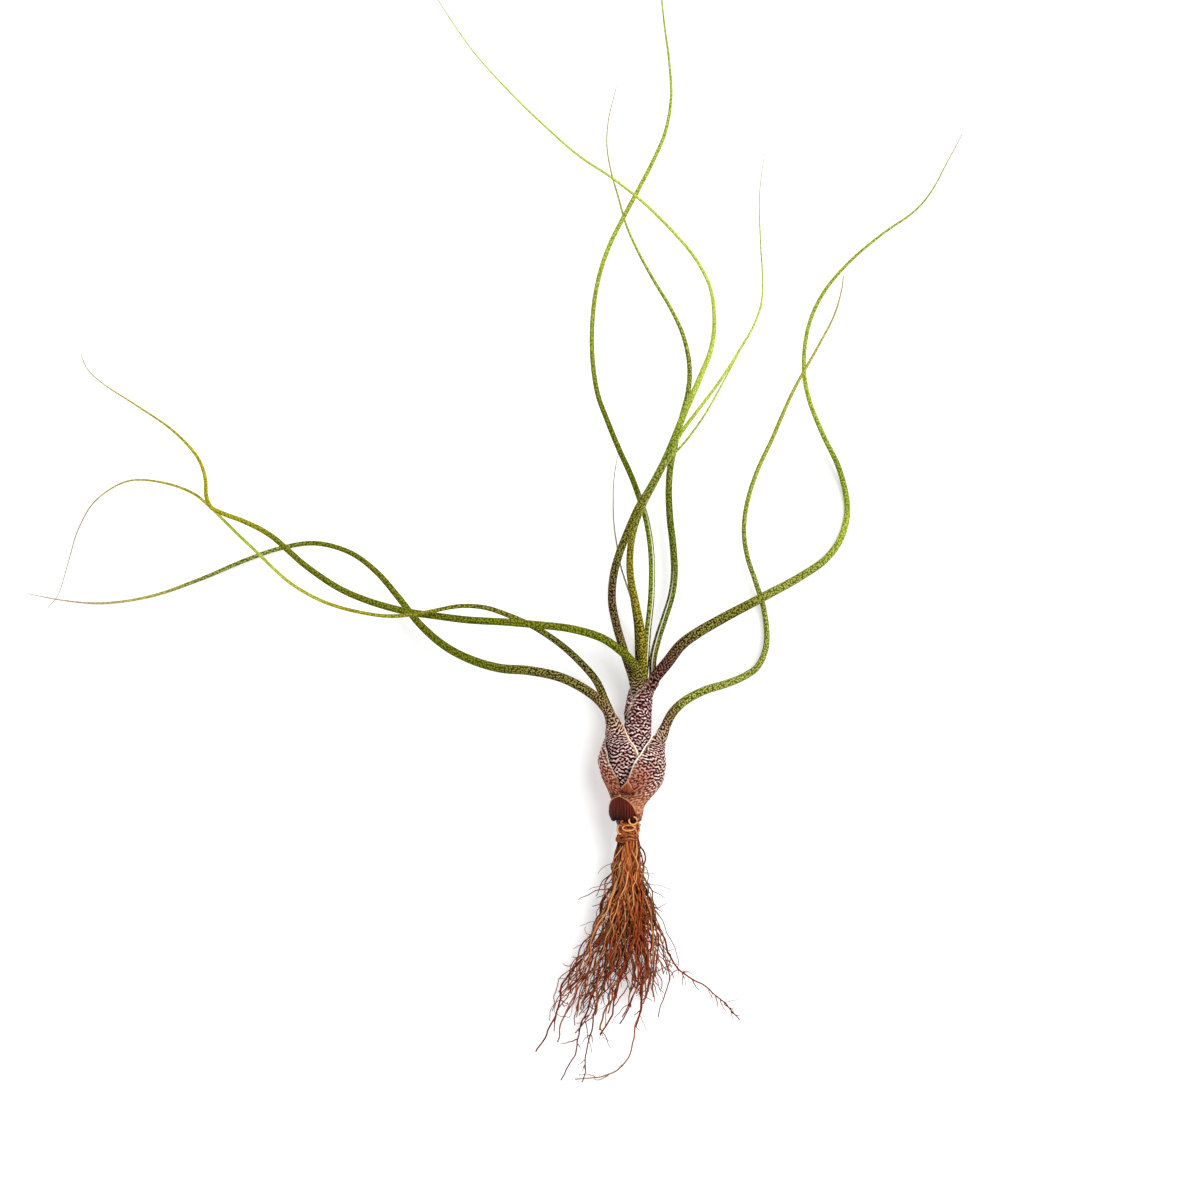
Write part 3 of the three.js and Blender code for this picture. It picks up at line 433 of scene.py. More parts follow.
# Side roots: their seed, shortest and longest, how much they curl, and the stretch of the
# parent that they grow from
ROOTLETS = (41, 3, 13, 0.5, (0.3, 0.95))
CURLS = (42, 3, 9, 1.8, (0.75, 1))
STRAY_ROOTLETS = (43, 2, 7, 0.8, (0.4, 1))
STRAY_ROOTLET_COUNT = 36
PATH_POINTS = {"main": 78, "thin": 62, "stray": 110, "rootlet": 14, "coil": 64, "loop": 40}
THICK_SIDES, THIN_SIDES, FINE_SIDES = 8, 5, 4  # of the tubes
HALF_TAPER = 0.5
STRAY_ROOTS = [
    [
        [2, -60, 8], [5, -76, 7], [3.6, -86.2, 6.2], [1.1, -94.3, 5.4], [-0.4, -100, 4.6],
        [-3, -109, 3.8], [-9, -112, 3], [-21, -113.3, 2],
    ],
    [
        [8, -56, 10], [13.5, -68, 9.5], [20, -76, 8.5], [26, -79.5, 7.5], [33, -86.2, 6],
        [39.6, -92, 4.5],
    ],
    [[-8, -62, 7], [-15, -86, 5], [-20, -100, 3.4], [-25, -114, 2]],
    [[-6, -60, 11], [-12, -84, 9.5], [-15, -98, 8], [-18.4, -114.5, 6]],
]

# Coils of old root round the knot, from one level to another below the crown, with their
# sizes at distances below it
COILS = 17
COIL_LEVELS = (-1, -8)
COIL_SIZES = ([1, 3.5, 6, 9], [3.35, 3.7, 3.75, 3.2])
COIL_RADIUS = (0.2, 0.4)
COIL_TIP = 1.19  # how far a coil is tipped along the axis
CORE_INSET = 0.6  # how far the core lies in from the knot's surface
LOOP_RADIUS = 0.34

# Loops of old root on the front of the knot: centre, radius across and along, tilt in degrees
KNOT_LOOPS = [
    [0.4, -20, 16.6, 1.5, 1.4, 10], [2, -22.4, 15.3, 0.9, 1.9, -35], [-2.2, -20.6, 16.2, 1.9, 0.8, 20],
    [-4.2, -23.2, 15, 1.2, 1.6, 30], [-1.2, -22.6, 16, 2.2, 1, -12],
]

# The camera looks straight down on the middle of the photograph's frame.
FRAME_CENTRE = (-11.5, 59.4)
FRAME_WIDTH = 432.0
FRAME_LEVEL = 13.0  # height above the floor at which the frame has that width
CAMERA_HEIGHT = 6000.0
FLOOR_GLOW = 0.4  # keeps the floor pale in the plant's shade
SENSOR = 36.0
FLOOR_REACH = 6.0  # metres
SKY_STRENGTH = 0.36
# Soft suns: strength, width across the sky, how far from overhead, and bearing from +X
SUNS = {"key": (3.1, 40, 36, 35), "fill": (0.5, 80, 45, 215)}

# The tones of the skins: what each colours, its ground, and the pale colour on its ridges
TONES = {
    "foot": ("Dry foot of the bulb", (150, 86, 54), (214, 150, 114)),
    "smooth": ("Rubbed face of the outer leaf base", (82, 30, 20), (184, 114, 88)),
    "ridged": ("Leaf bases", (20, 2, 4), (214, 162, 152)),
    "rust": ("Low part of the left leaf base", (104, 44, 24), (220, 146, 112)),
    "plum": ("Front of the neck", (26, 2, 8), (172, 116, 114)),
    "purple": ("Lower blade", (18, 2, 2), (134, 90, 76)),
    "umber": ("Bow of the tall leaf", (26, 8, 4), (146, 120, 80)),
    "brown": ("Upper leaf base", (30, 6, 2), (218, 180, 156)),
    "khaki": ("Neck", (34, 16, 4), (152, 126, 74)),
    "dusky": ("Top of the neck", (30, 22, 0), (146, 138, 66)),
    "olive": ("Start of the blades", (46, 42, 0), (152, 152, 54)),
    "gold": ("Base of the middle blades", (68, 56, 0), (176, 164, 54)),
    "green": ("Blades", (70, 76, 0), (178, 184, 88)),
    "deep": ("Darkest green blade", (52, 58, 0), (132, 142, 48)),
    "moss": ("Left blades", (58, 62, 0), (134, 140, 30)),
    "leafy": ("Greenest blades", (78, 94, 4), (162, 178, 64)),
    "bright": ("Thin part of the blades", (118, 134, 4), (196, 208, 90)),
    "lime": ("Lightest blades", (158, 178, 32), (212, 224, 114)),
    "yellow": ("Yellowish blades", (132, 124, 0), (198, 190, 40)),
    "tip": ("Blade tips", (150, 142, 40), (200, 192, 110)),
    "faded": ("Dry tips", (148, 122, 92), (196, 176, 150)),
    "bract": ("Scale at the foot of the bulb", (30, 3, 2), (142, 48, 26)),
    "scale": ("Torn scale", (122, 46, 16), (190, 108, 70)),
}


def linear(*channels):
    """A colour's linear values from its display values from 0 to 255."""
    c = np.array(channels) / 255
    return tuple(np.where(c <= 0.04045, c / 12.92, ((c + 0.055) / 1.055) ** 2.4).tolist())


def colour(name, description, *channels):
    """A setting for a colour, with its default in display values from 0 to 255."""
    return FloatVectorProperty(
        name=name, description=description, subtype="COLOR", min=0, max=1, default=linear(*channels)
    )


def length(name, description, millimetres):
    """A setting for a length, with its default in millimetres."""
    return FloatProperty(
        name=name, description=description, unit="LENGTH", min=0, precision=5, default=millimetres * MM
    )


class PlantShape(bpy.types.PropertyGroup):
    """Sizes of the fine forms that the frame doesn't hold."""

    relief: length("Relief", "Height of the wavy ridges on the leaf bases", 0.36)
    ridge_spacing: length("Ridge spacing", "From one wavy ridge to the next", 1.12)
    margin_wall: length("Margin", "Thickness of a leaf base at its margins", 0.3)
    margin_dip: length("Margin dip", "How far a margin lies in on the leaf base below it", 0.5)
    margin_width: length("Margin width", "How far in from the edge a leaf base thins", 2.6)
    root_radius: length("Root radius", "Radius of a main root at the top", 0.46)
    root_wander: length("Root wander", "How far a root strays from its smooth line", 0.9)
    thin_roots: IntProperty(
        name="Thin roots", description="Number of finer roots that cross the bunch", default=130, min=0
    )
    rootlets: IntProperty(
        name="Rootlets", description="Number of short side roots", default=240, min=0
    )
    curls: IntProperty(
        name="Curls", description="Number of curly ends in the lower bunch", default=110, min=0
    )


class PlantColours(bpy.types.PropertyGroup):
    """Colours of the finishes. The grounds and pale colours of the tones are added below."""

    # near-white painted highlight on the tops of the ridges
    crest_highlight: colour("Crest", "Tops of the ridges", 255, 234, 230)
    margin: colour("Margin", "Thin edges of the leaves", 252, 246, 236)
    papery: colour("Papery", "Strip beside a leaf base's edge", 188, 136, 82)
    root_golden: colour("Root golden", "Roots at the top", 212, 120, 60)
    # also the colour of the painted highlight along the upper and lower sides of the roots
    root_pale_and_highlight: colour("Root pale", "Palest roots, and the upper side of the others", 246, 180, 116)
    root_brown: colour("Root brown", "Roots in the bunch", 154, 54, 12)
    root_dark: colour("Root dark", "Root ends", 124, 34, 8)
    stem: colour("Stem", "Woody stem", 104, 62, 36)
    floor: colour("Floor", "Floor", 226, 226, 225)


for tone, (place, ground, pale) in TONES.items():
    label = tone.capitalize()
    raised = place + ", ridges and specks"
    PlantColours.__annotations__[tone + "_ground"] = colour(label + " ground", place, *ground)
    PlantColours.__annotations__[tone + "_pale"] = colour(label + " pale", raised, *pale)


def between(low, high, share):
    """The value that is a share of the way from low to high."""
    return low + (high - low) * share


def smoothstep(x, low, high):
    """0 at low or less, 1 at high or more, and the even S curve 3tt - 2ttt between."""
    t = np.clip((x - low) / (high - low), 0, 1)
    return t * t * (3 - 2 * t)


def from_axis(distance, across=0.0, up=0.0):
    """Points at distances from the crown along the bulb's axis, then across and up from it."""
    distance, across, up = (np.asarray(v, float)[..., None] for v in (distance, across, up))
    return CROWN + distance * ALONG + across * ACROSS + up * UP


def round_the_axis(degrees):
    """The direction at an angle round the bulb's axis, where 0 is to the right and 90 up."""
    angle = math.radians(degrees)
    return math.cos(angle) * ACROSS + math.sin(angle) * UP


def hermite(a, b, slope_a, slope_b, t):
    """The cubic from a to b with these slopes, and its derivative, at t from 0 to 1."""
    value = (
        (2 * t**3 - 3 * t**2 + 1) * a
        + (t**3 - 2 * t**2 + t) * slope_a
        + (3 * t**2 - 2 * t**3) * b
        + (t**3 - t**2) * slope_b
    )
    rate = (
        6 * (t**2 - t) * (a - b) + (3 * t**2 - 4 * t + 1) * slope_a + (3 * t**2 - 2 * t) * slope_b
    )
    return value, rate


def smooth_through(x, rows, at):
    """Rows joined without overshoot: between two rows, the cubic whose slope at each row is
    the harmonic mean of the straight slopes beside it, or 0 where those differ in sign."""
    x, rows = np.asarray(x, float), np.asarray(rows, float)
    step = np.diff(x)
    straight = np.diff(rows, axis=0) / step[:, None]
    left, right = straight[:-1], straight[1:]
    total = np.where(left * right > 0, left + right, 1.0)
    inner = np.where(left * right > 0, 2 * left * right / total, 0.0)
    slope = np.vstack([straight[:1], inner, straight[-1:]])
    i = np.clip(np.searchsorted(x, at, side="right") - 1, 0, len(x) - 2)
    t = ((at - x[i]) / step[i])[:, None]
    return hermite(rows[i], rows[i + 1], slope[i] * step[i, None], slope[i + 1] * step[i, None], t)[0]


def curve_through(points, at):
    """The centripetal Catmull-Rom curve through the points, and its direction. at counts
    points, with a fraction inside each span. Each end point is mirrored past the end, and
    a span's slopes come from its neighbours, weighted by the square roots of distances."""
    p = np.vstack([2 * points[0] - points[1], points, 2 * points[-1] - points[-2]])
    gap = np.sqrt(np.linalg.norm(np.diff(p, axis=0), axis=1))[:, None]
    d0, d1, d2 = gap[:-2], gap[1:-1], gap[2:]
    x0, x1, x2, x3 = p[:-3], p[1:-2], p[2:-1], p[3:]
    start = ((x1 - x0) / d0 - (x2 - x0) / (d0 + d1) + (x2 - x1) / d1) * d1
    end = ((x2 - x1) / d1 - (x3 - x1) / (d1 + d2) + (x3 - x2) / d2) * d1
    i = np.clip(np.floor(at).astype(int), 0, len(points) - 2)
    place, rate = hermite(x1[i], x2[i], start[i], end[i], (at - i)[:, None])
    return place, rate / np.linalg.norm(rate, axis=1, keepdims=True)


def even_steps(start, end, step):
    """Places from start to end that are nearly a step apart."""
    return np.linspace(start, end, max(2, int(round((end - start) / step)) + 1))


def waves(u, v, spacing, slant, seed, count=44):
    """A wavy striped field of about unit spread: the sum of plane waves with nearly the
    same wavelength, whose directions scatter by the slant round v, at random phases."""
    draw = np.random.default_rng(seed)
    wavelength = spacing * np.exp(0.2 * draw.standard_normal(count))
    angle = slant * draw.standard_normal(count)
    phase = FULL_TURN * draw.random(count)
    total = np.zeros(np.broadcast(u, v).shape)
    for k in range(count):
        turn = FULL_TURN / wavelength[k]
        total += np.cos(turn * (math.sin(angle[k]) * u + math.cos(angle[k]) * v) + phase[k])
    return total * math.sqrt(2 / count)


def section_plan(outer, cap, inner):
    """The samples of a leaf's section as three lists: the share from the middle of the back
    (0) to a margin (-1 or 1), the depth in the wall from the outer face (0) to the inner
    (1), and how far the rounded margin bulges. They run along the outer face, round one
    margin, back along the inner face and round the other margin."""
    bend = np.pi * np.arange(cap) / cap
    out, back = np.arange(outer) * 2 / outer - 1, 1 - np.arange(inner) * 2 / inner
    share = [out, np.ones(cap), back, -np.ones(cap)]
    depth = [np.zeros(outer), (1 - np.cos(bend)) / 2, np.ones(inner), (1 + np.cos(bend)) / 2]
    bulge = [np.zeros(outer), np.sin(bend), np.zeros(inner), np.sin(bend)]
    return np.concatenate(share), np.concatenate(depth), np.concatenate(bulge)


def carried(normals, back):
    """The back direction at each ring, carried along without twist: at every ring the last
    one is laid square to the ring's normal."""
    backs = np.empty_like(normals)
    for i, normal in enumerate(normals):
        back = back - back.dot(normal) * normal
        back = back / np.linalg.norm(back)
        backs[i] = back
    return backs


def turned_about(vectors, normals, angles):
    """Vectors square to the normals, turned about them by the angles."""
    a = angles[:, None]
    return np.cos(a) * vectors + np.sin(a) * np.cross(normals, vectors)


def grid_faces(first, rings, count):
    """Quads between rings of count points that start at point first, closed round."""
    r = first + count * np.arange(rings - 1)[:, None]
    k = np.arange(count)[None, :]
    after = (k + 1) % count
    return np.stack([r + k, r + after, r + count + after, r + count + k], axis=-1).reshape(-1, 4)


def capped_faces(first, rings, count):
    """Faces of a closed surface: quads between its rings and a flat face at each end."""
    near_end = first + np.arange(count)[::-1][None, :]
    far_end = first + np.arange((rings - 1) * count, rings * count)[None, :]
    return [grid_faces(first, rings, count), near_end, far_end]


def in_rows(*parts):
    """Three fields as one list of vectors, each spread over the same points."""
    return np.stack(np.broadcast_arrays(*parts), axis=-1).reshape(-1, 3)


def bent(out, angle, back, side):
    """Offsets by a distance out, at an angle from the back direction towards the side."""
    return out[..., None] * (np.cos(angle)[..., None] * back + np.sin(angle)[..., None] * side)


def joint_faces(fine_first, fine, coarse_first, coarse):
    """Faces between a ring of fine points and the next, of a fraction as many."""
    times = fine // coarse
    k = np.arange(coarse)[:, None]
    low = fine_first + (k * times + np.arange(times + 1)[None, :]) % fine
    high = coarse_first + np.hstack([(k + 1) % coarse, k])
    return np.hstack([low, high])


def make_piece(name, points, faces, fields, material, node):
    """A mesh object from points in millimetres, arrays of faces and named fields, which
    rides on the plant's body and stands for a node of the frame."""
    mesh = bpy.data.meshes.new(name)
    corners = np.concatenate([f.ravel() for f in faces]).astype(np.int32)
    sizes = np.concatenate([np.full(len(f), f.shape[1]) for f in faces])
    starts = np.concatenate([[0], np.cumsum(sizes)[:-1]]).astype(np.int32)
    mesh.vertices.add(len(points))
    mesh.vertices.foreach_set("co", (points * MM).astype(np.float32).ravel())
    mesh.loops.add(len(corners))
    mesh.loops.foreach_set("vertex_index", corners)
    mesh.polygons.add(len(sizes))
    mesh.polygons.foreach_set("loop_start", starts)
    for field, values in fields.items():
        kind, key = ("FLOAT", "value") if values.ndim == 1 else ("FLOAT_VECTOR", "vector")
        attribute = mesh.attributes.new(field, kind, "POINT")
        attribute.data.foreach_set(key, values.astype(np.float32).ravel())
    mesh.update(calc_edges=True)
    if mesh.validate():
        raise RuntimeError(f"the mesh of {name} has faults")
    mesh.shade_smooth()
    mesh.materials.append(material)
    piece = bpy.data.objects.new(name, mesh)
    bpy.context.scene.collection.objects.link(piece)
    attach(piece, BODY)
    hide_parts(node)
    return piece


class Value:
    """One output of a shader node. Python's arithmetic on it adds Math nodes."""

    def __init__(self, shader, socket):
        self.shader = shader
        self.socket = socket

    def math(self, operation, *values):
        return self.shader.node("ShaderNodeMath", {"operation": operation}, dict(enumerate(values)))

    def __add__(self, other):
        return self.math("ADD", self, other)

    def __sub__(self, other):
        return self.math("SUBTRACT", self, other)

    def __rsub__(self, other):
        return self.math("SUBTRACT", other, self)

    def __mul__(self, other):
        return self.math("MULTIPLY", self, other)

    def __truediv__(self, other):
        return self.math("DIVIDE", self, other)

    __radd__ = __add__
    __rmul__ = __mul__


class Finish:
    """A material being built: a Principled shader and the nodes that feed it."""

    def __init__(self, name, constants):
        self.material = bpy.data.materials.new(name)
        self.material.use_nodes = True
        self.tree = self.material.node_tree
        self.shader = self.tree.nodes["Principled BSDF"]
        for socket, value in constants.items():
            self.shader.inputs[socket].default_value = value

    def node(self, kind, settings=None, values=None, output=0):
        """Adds a node of a kind, with its settings and then its inputs' values or links."""
        node = self.tree.nodes.new(kind)
        for key, value in (settings or {}).items():
            if key == "stops":
                self.set_stops(node.color_ramp, value)
            else:
                setattr(node, key, value)
        for key, value in (values or {}).items():
            if isinstance(value, Value):
                self.tree.links.new(value.socket, node.inputs[key])
            else:
                node.inputs[key].default_value = value
        return Value(self, node.outputs[output])

    @staticmethod
    def set_stops(ramp, stops):
        while len(ramp.elements) < len(stops):
            ramp.elements.new(1.0)
        for element, (place, tint) in zip(ramp.elements, stops):
            element.position = place
            element.color = (*tint, 1)

    def amount(self, name):
        """An attribute of the piece that is one number."""
        return self.node("ShaderNodeAttribute", {"attribute_name": name}, output="Fac")

    def field(self, name, part=None):
        """An attribute of the piece as a vector, or one part of it (0, 1 or 2)."""
        vector = self.node("ShaderNodeAttribute", {"attribute_name": name}, output="Vector")
        if part is None:
            return vector
        return self.node("ShaderNodeSeparateXYZ", values={0: vector}, output=part)

    def stretched(self, vector, stretch, offset):
        settings = {"operation": "MULTIPLY_ADD"}
        return self.node("ShaderNodeVectorMath", settings, {0: vector, 1: stretch, 2: offset})

    def noise(self, vector, stretch, offset=(0, 0, 0), scale=1.0, detail=2.0):
        """Noise that is read at a vector, stretched by one and moved by another."""
        values = {"Vector": self.stretched(vector, stretch, offset), "Scale": scale, "Detail": detail}
        return self.node("ShaderNodeTexNoise", values=values)

    def between(self, value, low, high):
        """0 where the value is at low or less, 1 at high or more, smooth between."""
        return self.node(
            "ShaderNodeMapRange",
            {"interpolation_type": "SMOOTHSTEP"},
            {"Value": value, "From Min": low, "From Max": high},
        )

    def ramp(self, value, stops):
        return self.node("ShaderNodeValToRGB", {"stops": stops}, {"Fac": value})

    def mix(self, share, a, b, blend="MIX"):
        a = a if isinstance(a, Value) else (*a, 1)
        b = b if isinstance(b, Value) else (*b, 1)
        return self.node(
            "ShaderNodeMix", {"data_type": "RGBA", "blend_type": blend}, {0: share, 6: a, 7: b}, output=2
        )

    def darkened(self, share, a, tint):
        return self.mix(share, a, tint, "MULTIPLY")

    def feed(self, socket, value):
        self.tree.links.new(value.socket, self.shader.inputs[socket])

    def bump(self, height, distance):
        """Bump of a height from 0 to 1 that stands for a distance in millimetres."""
        values = {"Strength": 1.0, "Distance": distance * MM, "Height": height}
        self.feed("Normal", self.node("ShaderNodeBump", values=values))


def leaf_finish(name, leaf, seed, colours):
    """Waxy skin with pale scurf: a ground and a pale colour that change from base to tip,
    mixed by the wavy ridges on the leaf base and by specks on the blade. The ridge tops
    carry a painted highlight, worn places are smoother and browner, thin edges are pale,
    and the inner face is darkened as painted shade."""
    f = Finish(name, {"Specular IOR Level": 0.06})
    place, margin = f.field("place"), f.field("place", 2)
    growth, ridge, inside = (f.field("nature", part) for part in range(3))
    worn = f.amount("worn")

    # noises of several sizes, and the two colours of the tones
    shift = (0, 0, 7.3 * seed)
    fine = f.noise(place, (2.6, 2.2, 0), shift, detail=1)
    blotches = f.noise(place, (0.3, 0.12, 0), shift)
    cloud = f.noise(place, (0.33, 0.5, 0), shift, detail=3)
    grains = f.between(f.noise(place, (1.1, 1.5, 0), shift), 0.4, 0.6)
    growth = growth + 0.05 * (f.noise(place, (0.5, 0.5, 0), shift) - 0.5)
    ground, pale = (
        f.ramp(growth, [(at, getattr(colours, tone + part)) for at, tone in leaf["tones"]])
        for part in ("_ground", "_pale")
    )
    on_blade = f.between(growth, NECK + 0.01, NECK + 0.08)
    off_blade = 1 - on_blade
    on_base = 1 - f.between(growth, NECK - 0.08, NECK + 0.03)

    # ridges, grains where they are worn, and specks on the blade
    spots = f.stretched(place, (1.3, 1.2, 0), (3.1 * seed, 0, 0))
    dots = f.node(
        "ShaderNodeTexVoronoi",
        {"voronoi_dimensions": "2D"},
        {"Vector": spots, "Scale": 1.0, "Randomness": 0.85},
        "Distance",
    )
    specks = 1 - f.between(dots + 0.3 * (fine - 0.5), 0.24, 0.52)
    pattern = (ridge + 0.7 * worn * (grains - ridge)) * off_blade + specks * on_blade
    softened = 0.22 * f.between(growth, NECK + 0.04, NECK + 0.16)
    shade = f.between(pattern, 0.32, 0.72)
    skin = f.mix(shade + softened * (0.5 - shade), ground, pale)

    # painted highlight on the ridge tops, dark clouds, the rubbed face, darker at the very base, and dark
    # blotches and flecks
    # painted highlight: the ridge tops are mixed towards a near-white colour, more in some places
    lightened = 0.3 + 0.7 * f.between(cloud, 0.4, 0.58)
    crest_highlights = f.between(pattern, 0.66, 0.95) * on_base * (1 - worn) * lightened
    skin = f.mix(0.95 * crest_highlights, skin, colours.crest_highlight)
    shaded = 1 - f.between(cloud, 0.36, 0.5)
    skin = f.darkened(0.45 * shaded * on_base, skin, (0.62, 0.5, 0.46))
    rubbed = f.mix(f.between(pattern, 0.3, 0.72), colours.smooth_ground, colours.smooth_pale)
    skin = f.mix(0.9 * worn * f.between(growth, 0.04, 0.08) * off_blade, skin, rubbed)
    skin = f.darkened(0.8 * (1 - f.between(growth, 0, 0.025)), skin, (0.2, 0.12, 0.1))
    skin = f.darkened(0.3 * f.between(blotches, 0.5, 0.72), skin, (0.6, 0.56, 0.5))
    skin = f.darkened(0.25 * f.between(fine, 0.55, 0.75), skin, (0.4, 0.36, 0.3))

    # the papery strip, the pale margin, and painted shade on the inner face
    edges = f.ramp(growth, [(at, (share, share, share)) for at, share in leaf["edges"]])
    on_sheath = 1 - f.between(growth, NECK, NECK + 0.06)
    strip = f.between(margin, 0.3, 0.5) * (1 - f.between(margin, 0.9, 1.5)) * on_sheath
    skin = f.mix(leaf.get("papery", 0.25) * strip, skin, colours.papery)
    outer = 1 - f.between(inside, 0.4, 0.9) * f.between(growth, NECK - 0.03, NECK)
    skin = f.mix(edges * (1 - f.between(margin, 0.3, 0.55)) * outer, skin, colours.margin)
    # painted shade: the inner face, inside the channel and against the leaves within, is darkened
    skin = f.darkened(0.75 * inside, skin, (0.3, 0.24, 0.14))
    f.feed("Base Color", skin)
    f.feed("Roughness", 0.5 + 0.25 * pattern + 0.1 * fine)
    f.bump(0.7 * pattern + 0.3 * fine, 0.1)
    return f.material


def leaf_stations(leaf, steps):
    """The centre line, frame and sizes of a leaf at every ring, in blocks of rings. Sizes
    come from the sheath's rows, at their places along the curve, and then from the
    blade's thickness at even steps to the tip."""
    rows = leaf.get("sheath") or [row + [ROLLED] for row in leaf["rib"]]
    rows = np.array([row + [0] * (6 - len(row)) for row in rows], float)
    bulb = from_axis(rows[:, 0], rows[:, 1], rows[:, 2])
    centres = np.vstack([bulb, np.array(leaf["route"], float)])
    fine = 16
    dense = np.linspace(0, len(centres) - 1, fine * (len(centres) - 1) + 1)
    line, _ = curve_through(centres, dense)
    travelled = np.concatenate([[0], np.cumsum(np.linalg.norm(np.diff(line, axis=0), axis=1))])
    neck, end = travelled[fine * (len(rows) - 1)], travelled[-1]

    thick = np.array(leaf["thickness"], float)
    last = len(thick) - 1
    blade_at = neck + (end - neck) * np.arange(last + 1) / last
    blade_at[0] = neck + BLADE_START
    thick[0] = np.interp(BLADE_START / (end - neck) * last, range(last + 1), thick)
    key_at = np.concatenate([travelled[::fine][: len(rows)], blade_at])
    blade_rows = np.column_stack([thick, [ROLLED] + [SHUT] * last, 0 * thick])
    key_rows = np.vstack([rows[:, 3:6], blade_rows])

    marks = [0, neck, min(neck + CLOSE_RINGS, end), end]
    blocks = [even_steps(a, b, step) for a, b, step in zip(marks, marks[1:], steps)]
    blocks = [block if i == 0 else block[1:] for i, block in enumerate(blocks)]
    at = np.concatenate(blocks)
    centre, tangent = curve_through(centres, np.interp(at, travelled, dense))
    radius, half, turn = smooth_through(key_at, key_rows, at).T
    narrowed = 1 - smoothstep(radius, *TURNING_RADIUS) if "sheath" in leaf else np.ones(len(at))
    normal = ALONG + (tangent - ALONG) * narrowed[:, None]
    normal /= np.linalg.norm(normal, axis=1, keepdims=True)
    back = turned_about(carried(normal, round_the_axis(leaf["azimuth"])), normal, -np.radians(turn))
    growth = np.where(at < neck, NECK * at / neck, NECK + (1 - NECK) * (at - neck) / (end - neck))
    return {
        "blocks": [len(block) for block in blocks],
        "at": at,
        "centre": centre,
        "back": back,
        "side": np.cross(normal, back),
        "radius": radius,
        "half": np.radians(half),
        "turn": np.radians(turn),
        "growth": growth,
        "past_neck": at - neck,
    }


def add_leaf(name, leaf, order, cut, shape, colours):
    """A leaf as rings along its centre line. A ring is the outline of a bent wall: arcs for
    its outer and inner faces and round margins, where it thins and dips. The outer face
    is lowered between wavy ridges. Rings further on have fewer points."""
    resolution, thinning, steps = cut
    s = leaf_stations(leaf, steps)
    share, depth, bulge = section_plan(*resolution)
    ridge_height, spacing = shape.relief / MM, shape.ridge_spacing / MM
    margin_wall, margin_dip = shape.margin_wall / MM, shape.margin_dip / MM
    margin_width = shape.margin_width / MM
    lowest = leaf.get("lowest", 0.0)

    points, places, natures, worn, faces = [], [], [], [], []
    first_ring, first_point = 0, 0
    for block, (rings, every) in enumerate(zip(s["blocks"], thinning)):
        ring = slice(first_ring, first_ring + rings)
        a, e, b = (plan[::every][None, :] for plan in (share, depth, bulge))
        radius, half, turn, at, growth, past = (
            s[key][ring][:, None] for key in ("radius", "half", "turn", "at", "growth", "past_neck")
        )
        wall = np.minimum(SHEATH_WALL, WALL_SHARE * radius)
        thin = np.minimum(margin_wall, MARGIN_SHARE * radius)
        from_margin = (1 - np.abs(a)) * half * radius
        near = 1 - smoothstep(from_margin / np.minimum(margin_width, WIDTH_SHARE * radius), 0, 1)
        here = wall + (thin - wall) * near
        around = (a * half - turn) * radius

        # wavy ridges across the leaf base turn into specks on the neck
        bands = waves(around, at, spacing * leaf.get("coarse", 1), 0.5, SEEDS["bands"] + order)
        net = waves(around, at, NET_SPACING * spacing, math.pi, SEEDS["net"] + order, 60)
        breaks = waves(around, at, BREAK_SPACING * spacing, math.pi, SEEDS["breaks"] + order)
        netted = smoothstep(growth, 0.9 * NECK, 1.15 * NECK)
        field = (0.85 * bands + 0.5 * breaks) * (1 - netted) + net * netted
        ridge = 0.5 + 0.5 * np.tanh(1.5 * field - 0.2)
        rub_from, rub_to, until = leaf.get("worn", (2, 3, 0))
        rubbed = smoothstep(-a, rub_from, rub_to) * (1 - smoothstep(at, until - 3, until + 5))
        foot = leaf.get("worn_foot", -9)
        rubbed = np.maximum(rubbed, 1 - smoothstep(at, foot - 3, foot + 4))
        raised = (1 - smoothstep(past, -3, 9)) * (1 - 0.75 * rubbed) * (1 - near) * (e == 0)
        lowered = np.minimum(ridge_height, RELIEF_SHARE * radius) * (1 - ridge) * raised
        out = radius - np.minimum(margin_dip, DIP_SHARE * radius) * near - lowered - e * here
        angle = a * half + np.sign(a) * b * here / (2 * radius)

        back, side = s["back"][ring][:, None, :], s["side"][ring][:, None, :]
        p = s["centre"][ring][:, None, :] + bent(out, angle, back, side)
        torn = waves(around, 0, 2.6, 0.4, SEEDS["base tears"] + order)
        torn += 0.4 * waves(around, at, 0.7, 0.4, SEEDS["fine tears"] + order)
        p += (0.3 * torn * (1 - smoothstep(at, 0, 4)))[..., None] * ALONG
        p[..., 2] = np.maximum(p[..., 2], lowest + e * FLAT_WALL)
        count = a.shape[1]
        points.append(p.reshape(-1, 3))
        # on a blade only one of the two margins is pale
        one_sided = from_margin + 2 * (a * leaf.get("pale_side", 1) < 0) * smoothstep(past, 0, 5)
        places.append(in_rows(around, at, one_sided))
        natures.append(in_rows(growth, ridge, e))
        worn.append(rubbed.ravel())
        if block:
            faces.append(joint_faces(first_point - before, before, first_point, count))
        faces.append(grid_faces(first_point, rings, count))
        first_ring += rings
        first_point += rings * count
        before = count
    first_count = len(share[:: thinning[0]])
    faces.append(np.arange(first_count)[::-1][None, :])
    faces.append(np.arange(first_point - before, first_point)[None, :])

    finish = leaf_finish(name + "_skin", leaf, order, colours)
    fields = {"place": np.vstack(places), "nature": np.vstack(natures)}
    fields["worn"] = np.concatenate(worn)
    return make_piece(name + "_leaf", np.vstack(points), faces, fields, finish, name)


